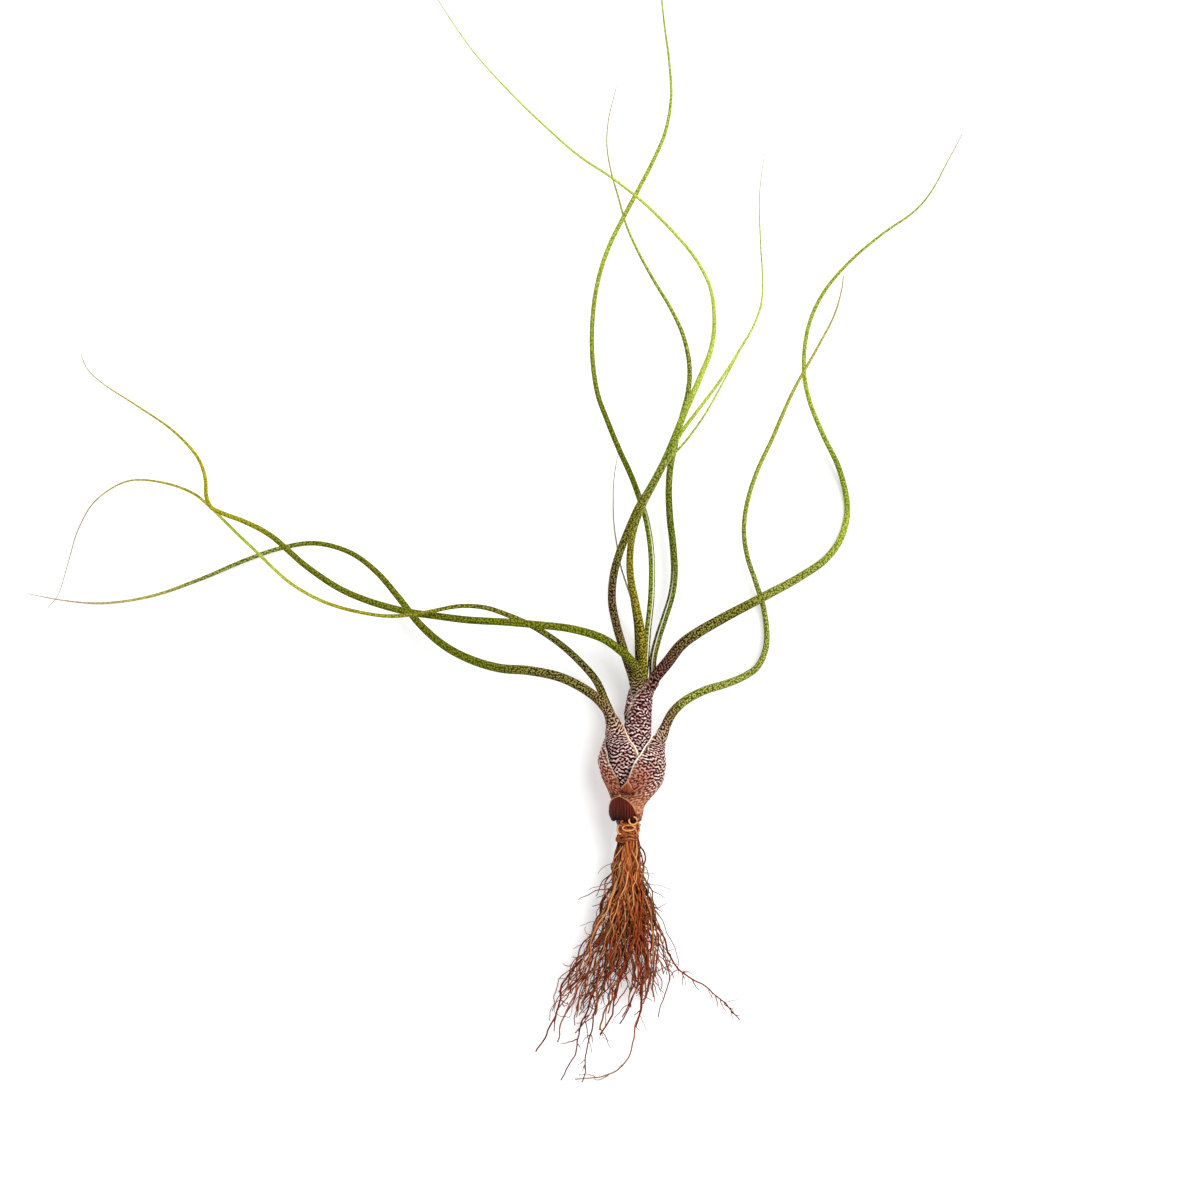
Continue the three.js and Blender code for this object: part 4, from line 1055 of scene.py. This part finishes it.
def scale_finish(name, ground, pale, colours, seed):
    """Dry, fibrous skin: fine stripes that run along the scale, darker low down, and a
    pale worn edge."""
    f = Finish(name, {"Specular IOR Level": 0.14})
    place, margin = f.field("place"), f.field("place", 2)
    growth, stripe = (f.field("nature", part) for part in range(2))
    fibres = f.noise(place, (1.5, 0.14, 0), (0, 0, 5.1 * seed), 1.2, detail=3)
    grains = f.noise(place, (1, 1, 0), (0, 0, 3.3 * seed), 2.4)
    pattern = 0.5 * f.between(fibres, 0.4, 0.6) + 0.5 * f.between(stripe, 0.35, 0.75)
    skin = f.mix(pattern * (0.3 + 0.7 * growth), ground, pale)
    skin = f.darkened(0.35 * f.between(grains, 0.5, 0.7), skin, (0.4, 0.34, 0.3))
    skin = f.darkened(1 - f.between(growth, 0.02, 0.25), skin, (0.22, 0.14, 0.12))
    edge = (1 - f.between(margin, 0.35, 0.85)) * f.between(growth, 0.2, 0.6)
    skin = f.mix(0.85 * edge, skin, colours.foot_pale)
    f.feed("Base Color", skin)
    f.feed("Roughness", 0.5 + 0.3 * pattern)
    f.bump(0.7 * fibres + 0.3 * grains, 0.12)
    return f.material


def add_scale(name, scale, order, colours):
    """A scale as rings round the bulb's axis that narrow to a point, with a wall that thins
    to its margins, ragged edges and shallow furrows along it."""
    rows = np.array(scale["rows"], float)
    at = even_steps(rows[0, 0], rows[-1, 0] + SCALE_WALL, 0.12)
    radius, half = smooth_through(rows[:, 0], rows[:, 1:], np.minimum(at, rows[-1, 0])).T
    past = np.maximum(at - rows[-1, 0], 0) / SCALE_WALL
    half = np.radians(np.maximum(half * (1 - past), 0.6))
    share, depth, bulge = section_plan(96, 4, 32)
    a, e, b = share[None, :], depth[None, :], bulge[None, :]
    at, radius, half = at[:, None], radius[:, None], half[:, None]
    tear = waves(at * np.sign(a), at, 1.6, 1.2, SEEDS["scale tears"] + order)
    half = half * (1 - 0.12 * scale["ragged"] * (1 + np.tanh(tear)) * np.abs(a) ** 6)
    from_margin = (1 - np.abs(a)) * half * radius
    wall = between(SCALE_MARGIN, SCALE_WALL, smoothstep(from_margin, 0, 1.6))
    around = a * half * radius
    stripe = 0.5 + 0.5 * np.tanh(1.2 * waves(0.1 * at, around, 0.95, 0.12, SEEDS["scale stripes"] + order))
    lowered = SCALE_FURROW * (1 - stripe) * smoothstep(from_margin, 0, 1) * (e == 0)
    out = radius - lowered - e * wall
    angle = a * half + np.sign(a) * b * wall / (2 * radius)
    back = round_the_axis(scale["azimuth"])
    side = np.cross(ALONG, back)
    p = from_axis(at) + bent(out, angle, back, side)
    torn = 0.45 * waves(around, 0, 1.3, 0.4, SEEDS["scale foot"] + order)
    p += (torn * (1 - smoothstep(at, at.min(), at.min() + 2)))[..., None] * ALONG
    rings, count = p.shape[:2]
    growth = (at - at.min()) / np.ptp(at)
    fields = {"place": in_rows(around, at, from_margin), "nature": in_rows(growth, stripe, e)}
    faces = capped_faces(0, rings, count)
    key = scale["slot"]
    ground, pale = (getattr(colours, key + part) for part in ("_ground", "_pale"))
    finish = scale_finish(name + "_skin", ground, pale, colours, order)
    return make_piece(name + "_blade", p.reshape(-1, 3), faces, fields, finish, name)


def wood_finish(name, tint):
    """Dull wood with fine dark fibres along it."""
    f = Finish(name, {})
    fibres = f.noise(f.field("place"), (1.8, 0.3, 0), (0, 0, 2.0), 1.3, detail=3)
    f.feed("Base Color", f.mix(f.between(fibres, 0.35, 0.7), 0.45 * np.array(tint), tint))
    f.feed("Roughness", 0.7 + 0.2 * fibres)
    f.bump(fibres, 0.15)
    return f.material


def add_stem(colours):
    """The woody stem as a surface of revolution about the bulb's axis, ringed by the scars
    of old leaves: its radius rises and falls by a rounded wave along it."""
    rows = np.array(STEM, float)
    at = even_steps(rows[0, 0], rows[-1, 0], 0.2)
    radius = smooth_through(rows[:, 0], rows[:, 1:], at)[:, 0]
    depth, spacing = STEM_SCAR
    radius = radius - depth * (0.5 + 0.5 * np.cos(at * FULL_TURN / spacing)) ** 3
    at, radius = at[:, None], radius[:, None]
    angle = FULL_TURN * np.arange(64) / 64
    lumps = 0.03 * waves(4 * angle, at, 2.2, 1.5, SEEDS["stem lumps"])
    out = STEM_SHARE * radius + lumps
    p = from_axis(at, out * np.cos(angle), -out * np.sin(angle))
    fields = {"place": in_rows(radius * angle, at, 1.0)}
    faces = capped_faces(0, *p.shape[:2])
    finish = wood_finish("stem_wood", colours.stem)
    return make_piece("stem_core", p.reshape(-1, 3), faces, fields, finish, "stem")


def arc_lengths(paths):
    """The distance gone along each path at each of its points."""
    return np.cumsum(np.linalg.norm(np.diff(paths, axis=1, prepend=paths[:, :1]), axis=2), axis=1)


def tubes(paths, radii, sides, first_point, reference=UP):
    """Tubes along paths, an array of strands by points by 3, with a radius at each point:
    rings square to the path, with flat ends. The reference is a direction that no path
    runs in, and each ring starts square to it."""
    strands, count = paths.shape[:2]
    tangent = np.gradient(paths, axis=1)
    tangent /= np.linalg.norm(tangent, axis=2, keepdims=True)
    side = np.cross(tangent, reference)
    side /= np.maximum(np.linalg.norm(side, axis=2, keepdims=True), 1e-6)
    lift = np.cross(side, tangent)
    angle = FULL_TURN * np.arange(sides) / sides
    ring = (
        np.cos(angle)[None, None, :, None] * side[:, :, None, :]
        + np.sin(angle)[None, None, :, None] * lift[:, :, None, :]
    )
    points = paths[:, :, None, :] + radii[:, :, None, None] * ring
    start = first_point + count * sides * np.arange(strands)[:, None, None]
    r = sides * np.arange(count - 1)[None, :, None]
    k = np.arange(sides)[None, None, :]
    after = (k + 1) % sides
    low = start + r
    quads = np.stack([low + k, low + sides + k, low + sides + after, low + after], axis=-1)
    near_end = (start[:, 0] + np.arange(sides)[None, :]).reshape(strands, sides)
    far_end = near_end + sides * (count - 1)
    return points.reshape(-1, 3), [quads.reshape(-1, 4), near_end, far_end[:, ::-1]]


def seeded_draws(seed, count):
    """Numbers from 0 to 1 by the rule state x 16807 mod 2147483647, as in the frame."""
    draws = []
    state = seed
    for _ in range(count):
        state = (state * 16807) % 2147483647
        draws.append(state / 2147483647)
    return np.array(draws)


def bunch_size(below):
    """The bunch's half width, half depth and drop at distances below its top."""
    fan = smoothstep(below, *BUNCH_SPREAD)
    return (between(low, high, fan) for low, high in zip(BUNCH_TOP, BUNCH_FULL))


def in_bunch(below, across, up, turn, sway):
    """Where roots are, at distances below the top of the knot. across and up place them in
    the bunch, from its heart (0) to its edge (1). The bunch widens, bends to the left and
    sinks towards the floor, and sway moves a root a little from side to side."""
    wide, deep, drop = bunch_size(below)
    bend = BUNCH_BEND * np.maximum(0, below - BUNCH_BEND_FROM) ** 2
    p = from_axis(BUNCH_LEVEL) + np.zeros(below.shape + (3,))
    p[..., 0] += BUNCH_SHIFT + across * wide - bend + sway * np.sin(below / 11 + turn * 3)
    p[..., 1] -= below
    p[..., 2] += up * deep - drop + 0.6 * sway * np.cos(below / 9 + turn * 5)
    return p


def depth_in_bunch(paths):
    """How deep points lie in the bunch, from 0 on its upper side to 1 on its lower side."""
    below = from_axis(BUNCH_LEVEL)[1] - paths[..., 1]
    _, deep, drop = bunch_size(below)
    above = paths[..., 2] - from_axis(BUNCH_LEVEL)[2] + drop
    return np.clip(0.5 - 0.5 * above / deep, 0, 1)


def wander(paths, amount, seed, grows=12):
    """Adds to each path four waves of random phase, across, along and up, that start small."""
    draw = np.random.default_rng(seed)
    strands = len(paths)
    along = arc_lengths(paths)
    shift = np.zeros_like(paths)
    for wavelength, share in WANDERING:
        phase = FULL_TURN * draw.random((3, strands, 1))
        size = share * (0.5 + draw.random((3, strands, 1)))
        turn = FULL_TURN * along / wavelength
        shift[..., 0] += size[0] * np.sin(turn + phase[0])
        shift[..., 1] += 0.3 * size[1] * np.sin(turn + phase[1])
        shift[..., 2] += 0.6 * size[2] * np.sin(turn + phase[2])
    shift *= amount * smoothstep(along, 0, grows)[..., None]
    moved = paths + shift
    moved[..., 2] = np.maximum(moved[..., 2], LOWEST_ROOT)
    return moved


def main_roots(shape):
    """The roots of the frame, each at its own place in the bunch, with a drift across it
    and a finer wander."""
    n = np.arange(ROOTS)
    draws = seeded_draws(ROOT_SEED, 3 * ROOTS).reshape(ROOTS, 3)
    out = np.sqrt((n + 0.5) / ROOTS)
    turn = n * GOLDEN_ANGLE
    leftward = 0.5 - 0.5 * np.cos(turn) * out
    reach = ROOT_SHORTEST + ROOT_EXTRA * draws[:, 0] + ROOT_EXTRA_LEFT * leftward * draws[:, 1]
    sway = between(*ROOT_SWAY, draws[:, 2])
    share = np.linspace(0, 1, PATH_POINTS["main"])[None, :]
    below = between(ROOT_START, reach[:, None], share)
    draw = np.random.default_rng(SEEDS["main drift"])
    drift = DRIFT * draw.standard_normal((2, ROOTS, 1)) * smoothstep(below, 6, 50)
    across = np.clip((out * np.cos(turn))[:, None] + drift[0], -1, 1)
    up = (out * np.sin(turn))[:, None] + drift[1]
    paths = in_bunch(below, across, up, turn[:, None], sway[:, None])
    paths = wander(paths, shape.root_wander / MM, SEEDS["main wander"], 14)
    radii = shape.root_radius / MM * (1 - MAIN_TAPER * share**0.8) * (0.7 + 0.5 * draws[:, 1:2])
    return paths, radii


def thin_roots(shape):
    """Finer roots that cross the bunch: each goes from one random place in it to another."""
    draw = np.random.default_rng(SEEDS["thin"])
    count = shape.thin_roots
    out = np.sqrt(draw.random((2, count)))
    turn = FULL_TURN * draw.random((2, count))
    start, end = (np.array([o * np.cos(t), o * np.sin(t)]) for o, t in zip(out, turn))
    leftward = 0.5 - 0.5 * end[0]
    shortest, extra, extra_left = THIN_REACH
    reach = shortest + extra * draw.random(count) + extra_left * leftward * draw.random(count)
    share = np.linspace(0, 1, PATH_POINTS["thin"])[None, :]
    when = 0.5 * draw.random((count, 1))
    drift = smoothstep(share, when, when + 0.5)
    across = between(start[0][:, None], 1.1 * end[0][:, None], drift)
    up = between(start[1][:, None], end[1][:, None], drift)
    below = between(1, reach[:, None], share)
    paths = in_bunch(below, across, up, turn[0][:, None], 0.9)
    paths = wander(paths, 1.6 * shape.root_wander / MM, SEEDS["thin wander"])
    radii = between(*THIN_RADIUS, draw.random(count))[:, None] * (1 - THIN_TAPER * share)
    return paths, radii


def stray_roots():
    """The few long roots that leave the bunch, through the frame's points."""
    inside = from_axis(ROOT_KNOT[-1][0] + 2)
    routes = [np.vstack([inside, np.array(route, float)]) for route in STRAY_ROOTS]
    share = np.linspace(0, 1, PATH_POINTS["stray"])
    paths = np.stack([curve_through(route, share * (len(route) - 1))[0] for route in routes])
    paths = wander(paths, 0.7, SEEDS["stray wander"])
    radii = STRAY_RADIUS * (1 - HALF_TAPER * share)[None, :] * np.ones((len(routes), 1))
    return paths, radii


def side_roots(parents, count, seed, shortest, longest, curl, region):
    """Short roots that branch off others: each leaves its parent at a slant and bends
    as it goes. region gives where they start, as shares of the parent's length."""
    draw = np.random.default_rng(seed)
    starts, headings = [], []
    for paths in parents:
        span = slice(int(region[0] * paths.shape[1]), max(int(region[1] * paths.shape[1]), 2), 3)
        step = np.gradient(paths, axis=1)
        starts.append(paths[:, span].reshape(-1, 3))
        headings.append(np.arctan2(step[..., 1], step[..., 0])[:, span].ravel())
    starts, headings = np.vstack(starts), np.concatenate(headings)
    pick = draw.integers(0, len(starts), count)
    hand = np.where(draw.random(count) < 0.5, -1, 1)
    slant = hand * between(*ROOTLET_SLANT, draw.random(count))
    reach = between(shortest, longest, draw.random(count) ** 1.8)
    share = np.linspace(0, 1, PATH_POINTS["rootlet"])[None, :]
    bend = (curl * draw.standard_normal(count) - 0.5 * slant)[:, None]
    ripples = share * (1 + 2 * draw.random((count, 1))) + draw.random((count, 1))
    ripple = 0.2 * np.sin(FULL_TURN * ripples)
    bearing = (headings[pick] + slant)[:, None] + bend * share + ripple
    step = (reach / (PATH_POINTS["rootlet"] - 1))[:, None] * (share > 0)
    rise = 0.35 * draw.standard_normal(count)[:, None] * np.sin(math.pi * share / 2)
    paths = starts[pick][:, None, :] + np.cumsum(
        np.stack([np.cos(bearing) * step, np.sin(bearing) * step, rise * step], axis=-1), axis=1
    )
    paths[..., 2] = np.maximum(paths[..., 2], LOWEST_ROOTLET)
    radii = between(*ROOTLET_RADIUS, draw.random(count))[:, None] * (1 - HALF_TAPER * share)
    return paths, radii


def knot_coils():
    """Coils of old root round the top of the bunch: circles about its middle, each tipped
    and wavy, that lie on one another."""
    draw = np.random.default_rng(SEEDS["coils"])
    turn = np.linspace(0, 0.93 * FULL_TURN, PATH_POINTS["coil"])[None, :]
    phase = FULL_TURN * draw.random((COILS, 1))
    level = np.linspace(*COIL_LEVELS, COILS)[:, None] + 0.3 * draw.standard_normal((COILS, 1))
    size = np.interp(-level, *COIL_SIZES)
    tip = COIL_TIP * draw.standard_normal((COILS, 1))
    wave = 0.3 * np.sin(3 * turn + 2 * phase) + 0.22 * np.sin(5 * turn + phase)
    angle = turn + phase
    distance = level + tip * np.cos(angle) + 0.6 * wave
    out = size + wave
    paths = from_axis(distance, BUNCH_SHIFT + out * np.cos(angle), out * np.sin(angle))
    radii = between(*COIL_RADIUS, draw.random((COILS, 1))) * (1 + 0.12 * np.sin(7 * turn + phase))
    return paths, radii


def knot_loops():
    """Small closed loops on the knot: ellipses that face up, tilted about Y."""
    x, y, z, across, along, tilt = np.array(KNOT_LOOPS, float).T[:, :, None]
    turn = np.linspace(0, 0.96 * FULL_TURN, PATH_POINTS["loop"])[None, :]
    level, lean = across * np.cos(turn), np.radians(tilt)
    paths = np.stack(
        [x + level * np.cos(lean), y + along * np.sin(turn), z - level * np.sin(lean)], axis=-1
    )
    return paths, np.full(paths.shape[:2], LOOP_RADIUS)


def root_finish(colours):
    """Wiry bark: golden at the top, brown in the bunch and dark at the ends, with streaks
    along it. By their own numbers some roots are pale and some dark. Each has a painted
    highlight along its upper and lower sides and painted shade along its flanks, and
    painted shade where it lies deep in the bunch near its top."""
    f = Finish("root_bark", {"Specular IOR Level": 0.12})
    below, root, depth = (f.field("nature", part) for part in range(3))
    upper = f.amount("upper")
    streaks = f.noise(f.field("place"), (1.4, 0.5, 3.1), detail=3)
    where = below / 85 + 0.9 * (root - 0.5) + 0.5 * (streaks - 0.5)
    stops = [(0, colours.root_golden), (0.34, colours.root_brown), (0.85, colours.root_dark)]
    tint = f.ramp(where, stops)
    tint = f.darkened(0.7 * f.between(streaks, 0.46, 0.62), tint, (0.3, 0.2, 0.16))
    pale = f.between(root, 0.56, 0.72) * (1 - f.between(below, 10, 58))
    tint = f.mix(0.7 * pale, tint, colours.root_pale_and_highlight)
    # painted shade: roots that lie deep in the upper part of the bunch are darkened
    painted_bunch_shade = f.between(depth, 0.12, 0.55) * (1 - f.between(below, 22, 58))
    tint = f.darkened(0.92 * painted_bunch_shade, tint, (0.16, 0.08, 0.05))
    tint = f.darkened(0.85 * (1 - f.between(root, 0.12, 0.42)), tint, (0.5, 0.36, 0.3))
    # painted highlight along the upper and lower sides of each root, then painted shade along its flanks
    painted_highlight = f.between(upper, 0.75, 1) * f.between(root, 0.3, 0.6)
    tint = f.mix(0.4 * painted_highlight, tint, colours.root_pale_and_highlight)
    tint = f.darkened(0.8 * (1 - f.between(upper, 0.1, 0.7)), tint, (0.3, 0.2, 0.16))
    f.feed("Base Color", tint)
    f.feed("Roughness", 0.55 + 0.3 * streaks)
    f.bump(streaks, 0.1)
    return f.material


def add_roots(shape, colours):
    """All the roots in one mesh, as tubes along their paths, round a knotty core."""
    main, thin, stray = main_roots(shape), thin_roots(shape), stray_roots()
    bunch = [main[0], thin[0]]
    rootlets = side_roots(bunch, shape.rootlets, *ROOTLETS)
    curls = side_roots(bunch, shape.curls, *CURLS)
    stray_rootlets = side_roots([stray[0]], STRAY_ROOTLET_COUNT, *STRAY_ROOTLETS)
    groups = [
        (main, THICK_SIDES, UP),
        (thin, THIN_SIDES, UP),
        (stray, THICK_SIDES, UP),
        (knot_coils(), THICK_SIDES, ALONG),
        (knot_loops(), THICK_SIDES, UP),
        (rootlets, FINE_SIDES, UP),
        (curls, FINE_SIDES, UP),
        (stray_rootlets, FINE_SIDES, UP),
    ]
    draw = np.random.default_rng(SEEDS["root tints"])
    points, faces, places, natures, upper = [], [], [], [], []
    first = 0
    for (paths, radii), sides, reference in groups:
        p, f = tubes(paths, radii, sides, first, reference)
        around = np.arange(sides) / sides
        root = draw.random(len(paths))[:, None, None]
        below = from_axis(BUNCH_LEVEL)[1] - paths[..., 1]
        places.append(in_rows(around, arc_lengths(paths)[..., None], 40 * root))
        nature = in_rows(below[..., None], root, depth_in_bunch(paths)[..., None] + 0 * around)
        natures.append(nature)
        # painted light round each root: 1 on its upper and lower sides, where the highlight is painted, 0
        # on its flanks, where shade is painted
        painted_light_round_root = np.abs(np.sin(FULL_TURN * around))
        upper.append(np.broadcast_to(painted_light_round_root, (*below.shape, sides)).ravel())
        points.append(p)
        faces.extend(f)
        first += len(p)

    rows = np.array(ROOT_KNOT[::-1], float)
    at = even_steps(rows[0, 0], rows[-1, 0], 0.4)
    radius = (smooth_through(rows[:, 0], rows[:, 1:], at)[:, 0] - CORE_INSET)[:, None]
    at = at[:, None]
    angle = FULL_TURN * np.arange(36) / 36
    across = BUNCH_SHIFT * smoothstep(-at, 0, 4) + radius * np.cos(angle)
    core = from_axis(at, across, -radius * np.sin(angle))
    points.append(core.reshape(-1, 3))
    faces += capped_faces(first, *core.shape[:2])
    places.append(in_rows(4 * angle, at, 0.0))
    # the core counts as deep in the bunch and partly on a flank, so it takes painted shade
    natures.append(in_rows(20 * np.ones(len(core) * len(angle)), 0.4, 1.0))
    upper.append(np.full(len(natures[-1]), 0.3))
    fields = {"place": np.vstack(places), "nature": np.vstack(natures)}
    fields["upper"] = np.concatenate(upper)
    finish = root_finish(colours)
    return make_piece("root_bunch", np.vstack(points), faces, fields, finish, "roots")


class PLANT_OT_sheathed_leaves(bpy.types.Operator):
    """Add the six leaves whose bases make the bulb and the neck"""

    bl_idname = "plant.sheathed_leaves"
    bl_label = "Sheathed leaves"

    def execute(self, context):
        shape, colours = context.scene.plant_shape, context.scene.plant_colours
        for order, (name, leaf) in enumerate(LEAVES.items()):
            if "sheath" in leaf:
                slim = max(row[3] for row in leaf["sheath"]) < SLIM_RADIUS
                add_leaf(name, leaf, order, SLIM_LEAF if slim else WIDE_LEAF, shape, colours)
        return {"FINISHED"}


class PLANT_OT_young_leaves(bpy.types.Operator):
    """Add the five young leaves that come out of the middle of the neck"""

    bl_idname = "plant.young_leaves"
    bl_label = "Young leaves"

    def execute(self, context):
        shape, colours = context.scene.plant_shape, context.scene.plant_colours
        for order, (name, leaf) in enumerate(LEAVES.items()):
            if "rib" in leaf:
                add_leaf(name, leaf, order, YOUNG_LEAF, shape, colours)
        return {"FINISHED"}


class PLANT_OT_foot_scales(bpy.types.Operator):
    """Add the two dry scales at the foot of the bulb"""

    bl_idname = "plant.foot_scales"
    bl_label = "Foot scales"

    def execute(self, context):
        for order, (name, scale) in enumerate(SCALES.items()):
            add_scale(name, scale, order, context.scene.plant_colours)
        return {"FINISHED"}


class PLANT_OT_stem(bpy.types.Operator):
    """Add the short woody stem inside the bulb"""

    bl_idname = "plant.stem"
    bl_label = "Stem"

    def execute(self, context):
        add_stem(context.scene.plant_colours)
        return {"FINISHED"}


class PLANT_OT_roots(bpy.types.Operator):
    """Add the bunch of wiry roots"""

    bl_idname = "plant.roots"
    bl_label = "Roots"

    def execute(self, context):
        add_roots(context.scene.plant_shape, context.scene.plant_colours)
        return {"FINISHED"}


def add_sun(name, strength, softness, tilt, bearing):
    """A soft sun: tilt is how far from overhead it stands and bearing where, in degrees
    from +X, and softness its width across the sky in degrees."""
    sun = bpy.data.lights.new(name, "SUN")
    sun.energy = strength
    sun.angle = math.radians(softness)
    lamp = bpy.data.objects.new(name, sun)
    lamp.rotation_euler = (0, math.radians(tilt), math.radians(bearing))
    bpy.context.scene.collection.objects.link(lamp)


class PLANT_OT_stage(bpy.types.Operator):
    """Add the floor, the soft light and the camera that looks down on the plant"""

    bl_idname = "plant.stage"
    bl_label = "Stage"

    def execute(self, context):
        reach = FLOOR_REACH
        corners = [(-reach, -reach, 0), (reach, -reach, 0), (reach, reach, 0), (-reach, reach, 0)]
        mesh = bpy.data.meshes.new("floor")
        mesh.from_pydata(corners, [], [(0, 1, 2, 3)])
        glow = {"Emission Strength": FLOOR_GLOW, "Emission Color": (1, 1, 1, 1)}
        f = Finish("floor_paint", glow)
        place = f.node("ShaderNodeTexCoord", output="Object")
        cloud = f.noise(place, (1, 1, 1), scale=9.0)
        tint = context.scene.plant_colours.floor
        f.feed("Base Color", f.mix(cloud, tint, 0.985 * np.array(tint)))
        f.feed("Roughness", 0.75 + 0.1 * cloud)
        mesh.materials.append(f.material)
        floor = bpy.data.objects.new("floor", mesh)
        context.scene.collection.objects.link(floor)

        world = bpy.data.worlds.new("studio")
        world.use_nodes = True
        sky = world.node_tree.nodes["Background"]
        sky.inputs["Color"].default_value = (1, 1, 1, 1)
        sky.inputs["Strength"].default_value = SKY_STRENGTH
        context.scene.world = world
        for name, settings in SUNS.items():
            add_sun(name, *settings)

        lens = bpy.data.cameras.new("camera")
        lens.sensor_width = SENSOR
        lens.lens = SENSOR * (CAMERA_HEIGHT - FRAME_LEVEL) / FRAME_WIDTH
        lens.clip_end = 50
        camera = bpy.data.objects.new("camera", lens)
        camera.location = (FRAME_CENTRE[0] * MM, FRAME_CENTRE[1] * MM, CAMERA_HEIGHT * MM)
        context.scene.collection.objects.link(camera)
        context.scene.camera = camera
        context.scene.view_settings.view_transform = "Standard"
        return {"FINISHED"}


OPERATORS = (
    PLANT_OT_sheathed_leaves,
    PLANT_OT_young_leaves,
    PLANT_OT_foot_scales,
    PLANT_OT_stem,
    PLANT_OT_roots,
    PLANT_OT_stage,
)


class PLANT_PT_panel(bpy.types.Panel):
    """The plant's pieces, sizes and colours"""

    bl_label = "Air plant"
    bl_space_type = "VIEW_3D"
    bl_region_type = "UI"
    bl_category = "Air plant"

    def draw(self, context):
        for operator in OPERATORS:
            self.layout.operator(operator.bl_idname)
        for group in (context.scene.plant_shape, context.scene.plant_colours):
            for key in group.bl_rna.properties.keys():
                if key not in ("rna_type", "name"):
                    self.layout.prop(group, key)


CLASSES = (PlantShape, PlantColours, *OPERATORS, PLANT_PT_panel)


def register():
    for cls in CLASSES:
        bpy.utils.register_class(cls)
    bpy.types.Scene.plant_shape = PointerProperty(type=PlantShape)
    bpy.types.Scene.plant_colours = PointerProperty(type=PlantColours)


def unregister():
    del bpy.types.Scene.plant_colours
    del bpy.types.Scene.plant_shape
    for cls in reversed(CLASSES):
        bpy.utils.unregister_class(cls)


def main():
    """Builds the stage and all the pieces."""
    register()
    bpy.ops.plant.stage()
    bpy.ops.plant.sheathed_leaves()
    bpy.ops.plant.young_leaves()
    bpy.ops.plant.foot_scales()
    bpy.ops.plant.stem()
    bpy.ops.plant.roots()
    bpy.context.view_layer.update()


if __name__ == "__main__":
    main()
